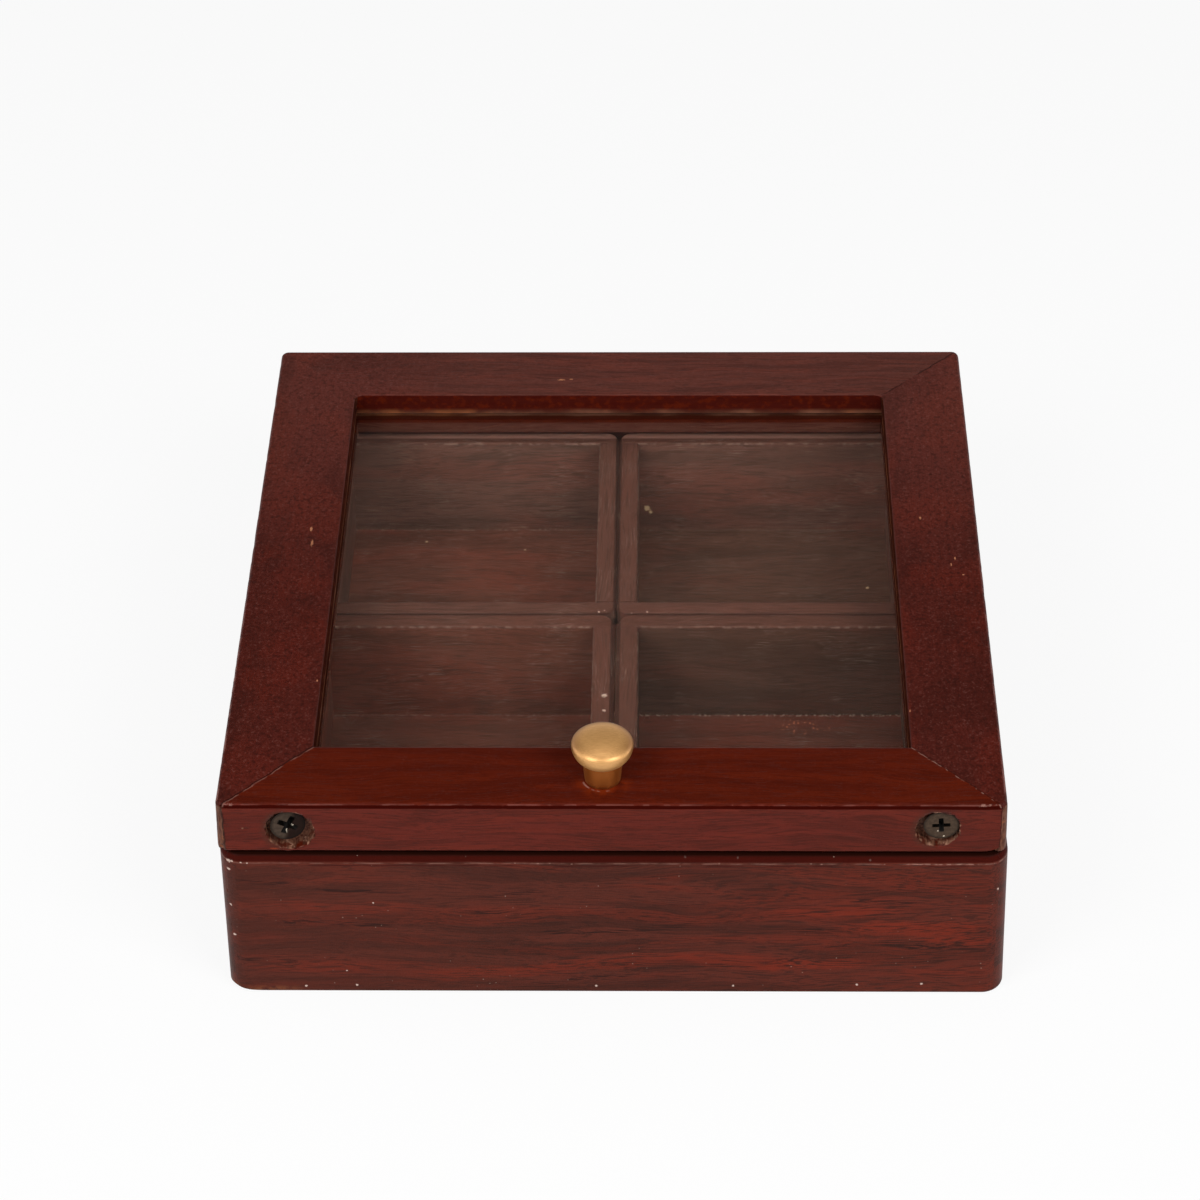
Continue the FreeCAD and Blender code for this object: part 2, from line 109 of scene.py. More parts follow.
class Bore(NamedTuple):
    """A rough counterbore in the lid's front: its middle and its radius."""
    x: float
    z: float
    radius: float


def corner_bore(side):
    """The counterbore of a corner screw, -1 for the left one, read from its floor in the front rail."""
    places = [vertex.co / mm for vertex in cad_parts["lid_front_rail"].data.vertices]
    floor = [place for place in places if abs(place.y - lid_low.y - bore_depth) < bore_floor_reach]
    floor = [place for place in floor if place.x * side > 0]
    low_x, high_x = min(place.x for place in floor), max(place.x for place in floor)
    low_z, high_z = min(place.z for place in floor), max(place.z for place in floor)
    return Bore((low_x + high_x) / 2, (low_z + high_z) / 2, (high_x - low_x) / 2)


corner_bores = (corner_bore(-1), corner_bore(1))


def screw_head(node):
    """Middle of a screw's flat front, and the direction that the screw points in."""
    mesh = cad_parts[node].data
    facing = (face for face in mesh.polygons if face.normal.y < front_normal_y)
    flat = max(facing, key=lambda face: face.area)
    middle = sum((vertex.co for vertex in mesh.vertices), Vector()) / len(mesh.vertices)
    depth = (middle - flat.center).dot(-flat.normal)
    return (middle + flat.normal * depth) / mm, -flat.normal


def colour(red, green, blue):
    """A colour given in screen levels of 0 to 255, as the linear values that a shader takes."""
    def linear(level):
        # The numbers are those of the sRGB curve
        share = level / 255
        return share / 12.92 if share <= 0.04045 else ((share + 0.055) / 1.055) ** 2.4

    return (linear(red), linear(green), linear(blue), 1.0)


def tinted(shade, red, green, blue):
    """A linear colour with its three parts scaled."""
    return (shade[0] * red, shade[1] * green, shade[2] * blue, 1.0)


class NodeTree:
    """A tree of shader nodes, with short calls that make and link them."""

    def __init__(self, tree):
        self.nodes = tree.nodes
        self.links = tree.links

    def feed(self, socket, value):
        """Link a socket to another node's output, or set its value."""
        if isinstance(value, bpy.types.NodeSocket):
            self.links.new(value, socket)
        else:
            socket.default_value = value

    def node(self, kind, inputs, **settings):
        """A new node of a kind, with its inputs fed and its settings made."""
        node = self.nodes.new(f"ShaderNode{kind}")
        for name, value in settings.items():
            setattr(node, name, value)
        for key, value in inputs.items():
            self.feed(node.inputs[key], value)
        return node


class Finish(NodeTree):
    """A node material with the calls that the finishes share. Its nodes count in millimetres."""

    def __init__(self, name):
        self.material = bpy.data.materials.new(name)
        self.material.use_nodes = True
        super().__init__(self.material.node_tree)
        self.shader = self.nodes["Principled BSDF"]
        self.output = self.nodes["Material Output"]
        here = self.node("TexCoord", {}).outputs["Object"]
        self.place = self.vector("MULTIPLY", here, (1 / mm, 1 / mm, 1 / mm))
        self.x, self.y, self.z = self.node("SeparateXYZ", {0: self.place}).outputs

    def math(self, operation, *terms):
        return self.node("Math", dict(enumerate(terms)), operation=operation).outputs[0]

    def vector(self, operation, *terms):
        return self.node("VectorMath", dict(enumerate(terms)), operation=operation).outputs[0]

    def length(self, offset):
        return self.node("VectorMath", {0: offset}, operation="LENGTH").outputs["Value"]

    def along(self, start, direction):
        """Distance of the place from a start, measured along a direction."""
        offset = self.vector("SUBTRACT", self.place, start)
        return self.node("VectorMath", {0: offset, 1: direction}, operation="DOT_PRODUCT").outputs["Value"]

    def rise(self, value, start, end, origin=0):
        """0 up to where value reaches start, 1 from end on, smooth between. Both count from an origin."""
        inputs = {"Value": value, "From Min": origin + start, "From Max": origin + end}
        return self.node("MapRange", inputs, interpolation_type="SMOOTHSTEP").outputs["Result"]

    def both(self, first, *others):
        """Product of masks and shares."""
        for other in others:
            first = self.math("MULTIPLY", first, other)
        return first

    def either(self, first, *others):
        """The strongest of several masks."""
        for other in others:
            first = self.math("MAXIMUM", first, other)
        return first

    def outside(self, mask):
        return self.math("SUBTRACT", 1.0, mask)

    def near(self, value, target, reach):
        """1 where value is at target, falling to 0 a reach away."""
        gap = self.math("ABSOLUTE", self.math("SUBTRACT", value, target))
        return self.rise(gap, reach, 0)

    def between(self, value, low, high, soft):
        """1 from low to high, falling to 0 a soft width outside them."""
        return self.both(self.rise(value, low - soft, low), self.rise(value, high + soft, high))

    def inset(self, value, low, high):
        """How far value is inside the range from low to high."""
        return self.math("MINIMUM", self.math("SUBTRACT", value, low), self.math("SUBTRACT", high, value))

    def noise(self, sizes, detail=2.0, place=None, output="Fac"):
        """Noise with features of those sizes along the three axes of a place."""
        steps = tuple(1 / size for size in sizes)
        scaled = self.vector("MULTIPLY", self.place if place is None else place, steps)
        return self.node("TexNoise", {"Vector": scaled, "Scale": 1.0, "Detail": detail}).outputs[output]

    def patches(self, size, start, end, detail=3.0):
        """Irregular patches of about that size, where the noise lies between start and end or beyond."""
        return self.rise(self.noise((size, size, size), detail), start, end)

    def wavering(self, value, size, reach):
        """A value that sways by up to about a reach over that size."""
        sway = self.math("SUBTRACT", self.noise((size, size, size), detail=3), noise_middle)
        return self.math("MULTIPLY_ADD", sway, 2 * reach, value)

    def spot(self, centre, reaches):
        """A ragged spot, with its reach along each axis. A reach of 0 leaves that axis out."""
        steps = tuple(1 / reach if reach else 0 for reach in reaches)
        offset = self.vector("MULTIPLY", self.vector("SUBTRACT", self.place, centre), steps)
        ragged = self.wavering(self.length(offset), spot_edge_size, spot_raggedness_share)
        return self.rise(ragged, 1.0, spot_core_share)

    def specks(self, spacing, reach, share):
        """Round specks in a share of the cells of a lattice with that spacing."""
        cells = self.node("TexVoronoi", {"Vector": self.place, "Scale": 1 / spacing})
        chance = self.node("SeparateXYZ", {0: cells.outputs["Color"]}).outputs[0]
        round_speck = self.rise(cells.outputs["Distance"], reach / spacing, reach / spacing * spot_core_share)
        return self.both(round_speck, self.math("LESS_THAN", chance, share))

    def mix(self, share, first, second):
        node = self.node("Mix", {0: share, 6: first, 7: second}, data_type="RGBA")
        return node.outputs[2]

    def bump(self, height, strength, depth):
        inputs = {"Height": height, "Strength": strength, "Distance": depth * mm}
        self.feed(self.shader.inputs["Normal"], self.node("Bump", inputs).outputs["Normal"])

    def set(self, **inputs):
        """Set or link inputs of the surface shader, named with underscores for spaces."""
        for name, value in inputs.items():
            self.feed(self.shader.inputs[name.replace("_", " ")], value)


class Shades(NamedTuple):
    """The three stains that a wood's figure blends."""
    dark: tuple
    middle: tuple
    red: tuple


class Figure(NamedTuple):
    """How a wood's figure looks: its bands' size, and how strongly each layer shows."""
    band_length: float
    band_width: float
    band_share: float
    red_share: float
    line_share: float
    fibre_share: float
    speckle_share: float


class Gloss(NamedTuple):
    """How rough a wood's varnish is, and how much it shines."""
    roughness: float
    specular: float


class PatchLayer(NamedTuple):
    """A shade laid on in patches: their size, the noise levels where they start and are full, and a share."""
    shade: tuple
    size: float
    start: float
    end: float
    share: float


noise_middle = 0.5
spot_edge_size = 0.4
spot_core_share = 0.4
spot_raggedness_share = 0.8
base_figure = Figure(80, 3.2, 0.5, 0.35, 0.75, 0.55, 0.12)
face_figure = Figure(40, 1.6, 0.4, 0.35, 0.7, 0.6, 0.1)
rail_figure = Figure(60, 1.8, 0.4, 0.4, 0.3, 0.45, 0.15)
back_rail_figure = Figure(50, 1.6, 0.5, 0.5, 0.6, 0.65, 0.3)
stile_figure = Figure(24, 9.0, 0.35, 0.5, 0.0, 0.2, 0.75)
tray_figure = Figure(60, 6.0, 0.45, 0.6, 0.5, 0.6, 0.2)

base_gloss = Gloss(0.4, 0.05)
front_rail_gloss = Gloss(0.3, 0.05)
lid_gloss = Gloss(0.42, 0.06)
tray_gloss = Gloss(0.6, 0.06)

# Wood figure: sizes of its layers along, across and through a board, and the noise levels where they show
seed_steps = (37.0, 11.0, 5.0)
drift_sizes = (45, 14, 14)
drift_reaches = (0, 8, 8)
fibre_sizes = (8, 0.3, 0.3)
pore_sizes = (5.0, 0.24, 0.24)
coarse_speckle_sizes = (1.0, 1.0, 1.0)
fine_speckle_sizes = (0.42, 0.42, 0.42)
red_length_share = 0.7
red_width_ratio = 1.3
line_length_share = 0.3
line_width_share = 0.35
line_reach = 0.024
pore_levels = (0.62, 0.7)
band_levels = (0.56, 0.4)
red_levels = (0.47, 0.62)
line_band_levels = (0.58, 0.44)
fibre_levels = (0.5, 0.38)
coarse_speck_levels = (0.47, 0.33)
fine_speck_levels = (0.44, 0.3)
pale_coarse_levels = (0.4, 0.6)
pale_fine_levels = (0.5, 0.74)
dark_speck_share = 0.8
painted_sparkle_share = 0.22
grain_bump_strength = 0.25
grain_bump_depth = 0.1

base_shades = Shades(colour(45, 23, 17), colour(76, 34, 25), colour(104, 35, 21))
face_shades = Shades(colour(58, 22, 15), colour(84, 30, 22), colour(96, 33, 21))
front_rail_shades = Shades(colour(56, 13, 5), colour(74, 20, 7), colour(85, 25, 8))
back_rail_shades = Shades(colour(62, 31, 25), colour(85, 44, 36), colour(97, 46, 36))
stile_shades = Shades(colour(42, 13, 8), colour(67, 22, 15), colour(81, 24, 14))
back_stile_shades = Shades(colour(52, 23, 17), colour(82, 37, 30), colour(92, 39, 29))


class TrayLook(NamedTuple):
    """A tray's tones, and how strongly dust shows where its floor meets its back wall."""
    wall: tuple
    floor: tuple
    dust_share: float


tray_looks = {
    ("back", "left"): TrayLook(colour(97, 64, 54), colour(99, 56, 44), 0.3),
    ("back", "right"): TrayLook(colour(97, 62, 52), colour(84, 54, 43), 0.15),
    ("front", "left"): TrayLook(colour(93, 50, 38), colour(87, 47, 36), 0.2),
    ("front", "right"): TrayLook(colour(77, 49, 39), colour(87, 45, 34), 0.65),
}
tray_dark_tint = (0.45, 0.5, 0.5)
tray_red_tint = (1.15, 0.85, 0.8)

# Worn, raw and stained places, and painted shade, shadow, highlights and reflections
painted_gap_shadow = colour(24, 7, 4)
# Deep red: a stain in patches, painted shade on the base's rounded rim under the lid, and the dark of the lid
# rails' lip
deep_red_stain_and_shade = colour(50, 8, 4)
seam_dark = colour(30, 9, 6)
line_dark = colour(36, 19, 15)
arris_dark = colour(44, 4, 1)
lip_brown = colour(44, 18, 11)
lip_mottle = colour(70, 35, 25)
painted_ledge_shade = colour(60, 20, 10)
under_glass = colour(72, 41, 34)
# Pale worn line, also used as a painted highlight along the base's arris
worn_line_and_highlight = colour(150, 112, 100)
# Pink for painted highlights: thin arris lines and the sparkle of the varnish
highlight_pink = colour(136, 92, 84)
fleck_white = colour(180, 156, 144)
chip_orange = colour(154, 100, 72)
nick_orange = colour(122, 48, 26)
raw_dark = colour(62, 33, 24)
raw_brown = colour(104, 68, 52)
raw_pale = colour(150, 112, 92)
raw_orange = colour(122, 72, 44)
dust_pale = colour(150, 126, 112)
rim_brown = colour(80, 47, 38)
painted_light_under_lid = colour(166, 116, 102)
rim_dark_grain_and_shade = colour(52, 28, 22)
tray_outside = colour(190, 155, 135)
floor_board_pale = colour(196, 160, 130)
crumb_pale = colour(170, 138, 104)
rim_chip_and_glint_white = colour(170, 144, 130)
crumb_orange = colour(150, 84, 56)
painted_glint_pale = colour(188, 176, 158)
painted_recess_shade = colour(10, 7, 5)
painted_sunk_shade = colour(22, 9, 5)
painted_brass_reflection = colour(128, 44, 10)
film_dust = colour(215, 200, 185)

# Metals
knob_pale = colour(204, 154, 95)
knob_brown = colour(188, 138, 81)
knob_back_shade = colour(128, 82, 40)
neck_brass = colour(152, 84, 31)
hinge_pale = colour(190, 140, 76)
hinge_brown = colour(150, 104, 54)
knob_screw_grey = colour(90, 84, 78)
left_screw_brown = colour(62, 50, 41)
right_screw_brown = colour(66, 52, 41)


class Wood(Finish):
    """Stained wood whose figure runs through the board along its grain."""

    def __init__(self, name, grain, seed, shades, figure):
        super().__init__(name)
        order = {"x": (self.x, self.y, self.z), "y": (self.y, self.x, self.z)}
        along, across, through = order[grain]
        board = self.node("CombineXYZ", {0: along, 1: across, 2: through}).outputs[0]
        board = self.vector("ADD", board, tuple(seed * step for step in seed_steps))
        drift = self.noise(drift_sizes, place=board, output="Color")
        drift = self.vector("SUBTRACT", drift, (noise_middle,) * 3)
        self.board = self.vector("ADD", board, self.vector("MULTIPLY", drift, drift_reaches))
        self.fibres = self.noise(fibre_sizes, detail=4, place=self.board)
        self.pores = self.rise(self.noise(pore_sizes, detail=1, place=self.board), *pore_levels)
        self.coarse_speckle = self.noise(coarse_speckle_sizes, detail=3)
        self.fine_speckle = self.noise(fine_speckle_sizes)
        self.colour = self.stain(shades, figure)
        self.dull = None

    def stain(self, shades, figure):
        """The board's figure in a set of shades."""
        length, width = figure.band_length, figure.band_width
        bands = self.noise((length, width, width), detail=4, place=self.board)
        red_width = width * red_width_ratio
        reds = self.noise((length * red_length_share, red_width, red_width), detail=4, place=self.board)
        line_width = width * line_width_share
        line_sizes = (length * line_length_share, line_width, line_width)
        lines = self.noise(line_sizes, detail=3, place=self.board)
        dark_bands = self.both(self.rise(bands, *band_levels), figure.band_share)
        grain = self.mix(dark_bands, shades.middle, shades.dark)
        grain = self.mix(self.both(self.rise(reds, *red_levels), figure.red_share), grain, shades.red)
        thin_lines = self.near(lines, noise_middle, line_reach)
        thin_lines = self.both(thin_lines, self.rise(bands, *line_band_levels), figure.line_share)
        grain = self.mix(thin_lines, grain, shades.dark)
        dark_fibres = self.both(self.rise(self.fibres, *fibre_levels), figure.fibre_share)
        grain = self.mix(dark_fibres, grain, shades.dark)
        grain = self.mix(self.both(self.pores, figure.fibre_share), grain, shades.dark)
        dark_specks = self.either(self.rise(self.coarse_speckle, *coarse_speck_levels),
                                  self.rise(self.fine_speckle, *fine_speck_levels))
        grain = self.mix(self.both(dark_specks, figure.speckle_share, dark_speck_share), grain, shades.dark)
        # Painted highlight: pale specks that stand in for the sparkle of the varnish
        painted_sparkle = self.both(self.rise(self.fine_speckle, *pale_fine_levels),
                                self.rise(self.coarse_speckle, *pale_coarse_levels))
        return self.mix(self.both(painted_sparkle, figure.speckle_share, painted_sparkle_share), grain, highlight_pink)

    def cover(self, shade, *masks):
        """Lay a shade over the wood, as strongly as the product of some masks and shares says."""
        self.colour = self.mix(self.both(*masks), self.colour, shade)

    def wear(self, look, *masks):
        """Lay on a shade in patches, within some masks: for worn places, and for painted highlights and
        reflections too.
        """
        self.cover(look.shade, *masks, self.patches(look.size, look.start, look.end), look.share)

    def done(self, gloss):
        """Give the wood its fine relief, and a gloss that its dull places lose."""
        height = self.math("SUBTRACT", self.fibres, self.pores)
        self.bump(self.math("ADD", height, self.fine_speckle), grain_bump_strength, grain_bump_depth)
        sheen = gloss.specular if self.dull is None else self.both(self.outside(self.dull), gloss.specular)
        self.set(Base_Color=self.colour, Roughness=gloss.roughness, Specular_IOR_Level=sheen)
        return self.material


def dress(node, material):
    """Give a node of the frame its finish."""
    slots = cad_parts[node].data.materials
    slots.clear()
    slots.append(material)


# Wear on the base, seen on its front: white flecks (x, z, size), the first of them a painted highlight,
# dark streaks and red ones (x, z, half length, half width, slope)
base_flecks_and_highlight = (
    (-74.4, 35.2, 0.55), (-73.8, 35.4, 0.3), (-72.0, 35.3, 0.22), (-70.8, 35.2, 0.2), (-74.6, 32.9, 0.38),
    (-75.0, 23.2, 0.36), (-74.8, 15.3, 0.36), (-46.8, 24.6, 0.26), (-61.4, 1.7, 0.34), (-51.2, 2.0, 0.34),
    (-3.3, 1.9, 0.34), (24.0, 2.0, 0.34), (48.7, 2.4, 0.34), (61.5, 2.7, 0.34), (76.0, 32.0, 0.38),
    (75.4, 28.0, 0.36), (-53.0, 6.0, 0.24), (14.3, 36.6, 0.3), (50.1, 36.1, 0.3), (24.5, 36.5, 0.24),
)
base_dark_streaks = (
    (-69.0, 30.2, 7.0, 0.55, -0.1), (-51.0, 27.8, 10.0, 0.5, -0.06), (-61.0, 19.6, 5.5, 0.55, 0.0),
    (-49.0, 18.6, 7.5, 0.65, -0.02), (-19.5, 26.9, 7.0, 0.5, 0.15), (-23.0, 22.0, 7.0, 0.5, 0.0),
    (-5.5, 3.9, 13.0, 0.5, 0.13), (-3.0, 17.0, 16.0, 0.7, 0.02), (14.0, 18.2, 7.0, 0.6, 0.03),
    (40.5, 17.0, 5.5, 0.75, 0.06), (33.5, 9.0, 5.0, 0.65, 0.05), (65.0, 12.9, 12.0, 0.8, -0.04),
    (50.0, 13.5, 8.0, 0.65, 0.12), (52.0, 25.4, 10.0, 0.5, 0.0), (-68.0, 9.0, 9.0, 0.7, -0.05),
)
base_red_streaks = (
    (-52.0, 23.6, 17.0, 1.8, -0.02), (-60.0, 7.0, 14.0, 2.2, -0.03), (-25.0, 5.5, 18.0, 2.0, 0.05),
    (0.0, 8.5, 20.0, 2.2, 0.1), (24.0, 9.0, 14.0, 2.6, -0.08), (45.0, 22.6, 15.0, 1.6, 0.03),
    (60.0, 18.0, 16.0, 2.0, 0.0), (40.0, 8.0, 14.0, 1.6, 0.04), (68.0, 15.0, 9.0, 1.8, -0.05),
)

# Base front: how its tone and its streaks vary, and how far from the front its flecks reach
front_sway = (7, 1.2)
plain_left = (0, -60)
plain_left_share = 0.3
red_right = (0, 60)
red_right_fibres = (0.4, 0.6)
red_right_share = 0.25
red_streak_fibres = (0.38, 0.56)
red_streak_shares = (0.3, 0.8)
dark_streak_fibres = (0.56, 0.44)
dark_streak_share = 0.8
streak_fade = (1.3, 0.2)
fleck_depths = (4, 3)


class BaseFront(Wood):
    """The front wall's wood, with the streaks and flecks that the photograph shows on it."""

    def __init__(self, name, grain, seed, shades, figure):
        super().__init__(name, grain, seed, shades, figure)
        self.swaying_z = self.wavering(self.z, *front_sway)
        self.cover(shades.middle, self.rise(self.x, *plain_left), plain_left_share)
        reddish = self.both(self.rise(self.x, *red_right), self.rise(self.fibres, *red_right_fibres))
        self.cover(shades.red, reddish, red_right_share)
        self.streak_front(shades)
        at_front = self.rise(self.y, *fleck_depths, base_low.y)
        # White flecks; the first, at the top left, is a painted highlight
        for x, z, size in base_flecks_and_highlight:
            self.cover(fleck_white, self.spot((x, 0, z), (size, 0, size)), at_front)

    def streak_front(self, shades):
        """Red streaks, stronger towards the right, and dark ones over them, both broken up by the fibres."""
        left_share, right_share = red_streak_shares
        red_fibres = self.rise(self.fibres, *red_streak_fibres)
        for x, *form in base_red_streaks:
            place_share = (x - base_low.x) / (base_high.x - base_low.x)
            red_share = left_share + (right_share - left_share) * place_share
            self.cover(shades.red, self.streak(x, *form), red_fibres, red_share)
        dark_fibres = self.rise(self.fibres, *dark_streak_fibres)
        for form in base_dark_streaks:
            self.cover(line_dark, self.streak(*form), dark_fibres, dark_streak_share)

    def streak(self, x, z, half_length, half_width, slope):
        """A long soft streak on the front face."""
        run = self.math("SUBTRACT", self.x, x)
        middle = self.math("MULTIPLY_ADD", run, slope, z)
        lift = self.math("SUBTRACT", self.swaying_z, middle)
        along = self.math("POWER", self.math("DIVIDE", run, half_length), 2)
        across = self.math("POWER", self.math("DIVIDE", lift, half_width), 2)
        return self.rise(self.math("ADD", along, across), *streak_fade)


# Base rim: depths below its top, or in from its outside, of its stains, of its painted shade and shadow, and
# of its worn arris with a painted highlight
rim_inside = (3.6, 4.2)
rim_inside_drop = 100
rim_sway = (5, 0.2)
rim_rounding = (2.2, 1.7)
rim_rounding_share = 0.9
rim_rounding_dull_share = 0.6
rim_gap_shadow = (1.05, 0.5)
rim_arris = (2.3, 0.25)
rim_arris_wear_and_highlight = PatchLayer(worn_line_and_highlight, 4.0, 0.38, 0.62, 0.32)
rim_bits = (1.1, 0.32, 0.22)
rim_bits_right = (55, 61)
rim_bits_patches = (1.2, 0.42, 0.58)
rim_bits_share = 0.6
rim_stain = (2.9, 0.3)
rim_stain_wear = PatchLayer(deep_red_stain_and_shade, 9.0, 0.42, 0.55, 0.7)


def shade_and_wear_base_rim(wood):
    """Painted shadow in the gap under the lid, painted shade on the rounded edge below, and its arris: worn,
    with a painted highlight.
    """
    from_outside = wood.math("MINIMUM", wood.inset(wood.x, base_low.x, base_high.x),
                             wood.inset(wood.y, base_low.y, base_high.y))
    inside = wood.rise(from_outside, *rim_inside)
    below = wood.math("MULTIPLY_ADD", inside, rim_inside_drop, wood.math("SUBTRACT", base_high.z, wood.z))
    swaying = wood.wavering(below, *rim_sway)
    # Painted shade: the rounded edge under the lid's overhang, deep red and dulled
    rounding = wood.rise(swaying, *rim_rounding)
    wood.cover(deep_red_stain_and_shade, rounding, rim_rounding_share)
    # Painted shadow: near-black in the gap under the lid
    gap = wood.rise(below, *rim_gap_shadow)
    wood.cover(painted_gap_shadow, gap)
    wood.dull = wood.either(gap, wood.both(rounding, rim_rounding_dull_share))
    # Pale patchy line at the arris: worn varnish and a painted highlight
    arris = wood.near(swaying, *rim_arris)
    wood.wear(rim_arris_wear_and_highlight, arris)
    right_bits = wood.both(wood.rise(wood.x, *rim_bits_right), wood.patches(*rim_bits_patches))
    bits = wood.either(wood.specks(*rim_bits), right_bits)
    wood.cover(worn_line_and_highlight, arris, bits, rim_bits_share)
    wood.wear(rim_stain_wear, wood.near(swaying, *rim_stain))


# Base foot and pores: heights and places of the wear, its patches and its strength
foot_heights = (0.5, 0.1)
foot_wear = PatchLayer(worn_line_and_highlight, 3.0, 0.4, 0.6, 0.3)
foot_corner_heights = (2.2, 0.9)
foot_corner_sides = (-60, -68)
foot_corner_wear = PatchLayer(raw_orange, 2.0, 0.35, 0.6, 0.5)
pale_pores = (1.3, 0.17, 0.3)
pale_pore_wear = PatchLayer(dust_pale, 12, 0.48, 0.6, 0.6)
first_base_seed = 1


def dress_base():
    boards = (("front", "x", BaseFront), ("back", "x", Wood), ("left", "y", Wood), ("right", "y", Wood))
    for seed, (side, grain, kind) in enumerate(boards, first_base_seed):
        wood = kind(f"base_{side}_wood", grain, seed, base_shades, base_figure)
        shade_and_wear_base_rim(wood)
        wood.wear(foot_wear, wood.rise(wood.z, *foot_heights))
        at_left = wood.rise(wood.x, *foot_corner_sides)
        at_front = wood.rise(wood.y, *foot_corner_sides)
        wood.wear(foot_corner_wear, wood.rise(wood.z, *foot_corner_heights), at_left, at_front)
        wood.wear(pale_pore_wear, wood.specks(*pale_pores))
        dress(f"base_{side}_wall", wood.done(base_gloss))


# Chips on the lid's top, as (x, y, size across, size along)
lid_top_chips = (
    (-64.2, 10.3, 0.35, 1.0), (-63.7, 5.6, 0.35, 1.2), (-12.8, 64.7, 0.9, 0.35), (-10.6, 64.9, 0.5, 0.25),
    (64.1, 14.3, 0.3, 0.7), (69.7, -1.7, 0.22, 0.6), (70.6, 0.4, 0.2, 0.7), (72.0, -5.0, 0.35, 0.22),
    (-59.1, -39.2, 0.18, 0.4), (58.7, -48.2, 0.18, 0.5),
)

# Pale chips on the lid's front arris, from x to x
front_arris_chips = ((-73.9, -72.8), (70.6, 73.8))

# Lid opening: the lip over the glass, the raw strip at its foot, and the ledge under the glass
inner_face_reach = (-0.3, -0.1)
inner_face_depths = (0.1, 0.4)
front_face_depths = (0.5, 0.15)
lip_share = 0.9
mottle_patches = (1.6, 0.48, 0.66)
mottle_share = 0.45
strip_sway = (7, 0.2)
strip_lift = 0.3
strip_reach = 1.4
strip_share = 0.8
strip_patches = (9, 0.42, 0.72)
bright_left = (-54, -33, 8)
bright_right = (47, 55)
bright_patches = (6, 0.35, 0.65)
bright_share = 0.8
under_glass_drops = (0.1, -0.1)
under_glass_fibres = (0.52, 0.36)
under_glass_share = 0.5
ledge_drop = 0.7
ledge_rise = 0.15
ledge_soft = 0.3
ledge_reach = (-6, -5)
ledge_sway = (7, 0.4)
ledge_raw_reach = (-1.2, -1.7)
ledge_raw_share = 0.8

# Lid arrises: depths of their painted highlight lines and worn chips, and of the stain under the front one
stain_face_depths = (0.34, 0.2)
stain_sway = (6, 0.1)
stain_band = (0.45, 1.0, 0.2)
stain_share = 0.95
stain_dull_share = 0.85
front_highlight = (0.5, 0.475)
front_highlight_layer = PatchLayer(highlight_pink, 4, 0.28, 0.6, 0.2)
arris_chip = (0.58, 0.5)
arris_chip_soft = 0.3
arris_chip_wear = PatchLayer(worn_line_and_highlight, 0.9, 0.46, 0.6, 0.5)
side_highlight = (0.6, 0.48)
side_highlight_layer = PatchLayer(highlight_pink, 4, 0.4, 0.62, 0.5)
side_highlight_run = (60, -60)
top_chip_depth = 1.0
seam_sway = (2.2, 0.45)
quarter_fade = 20


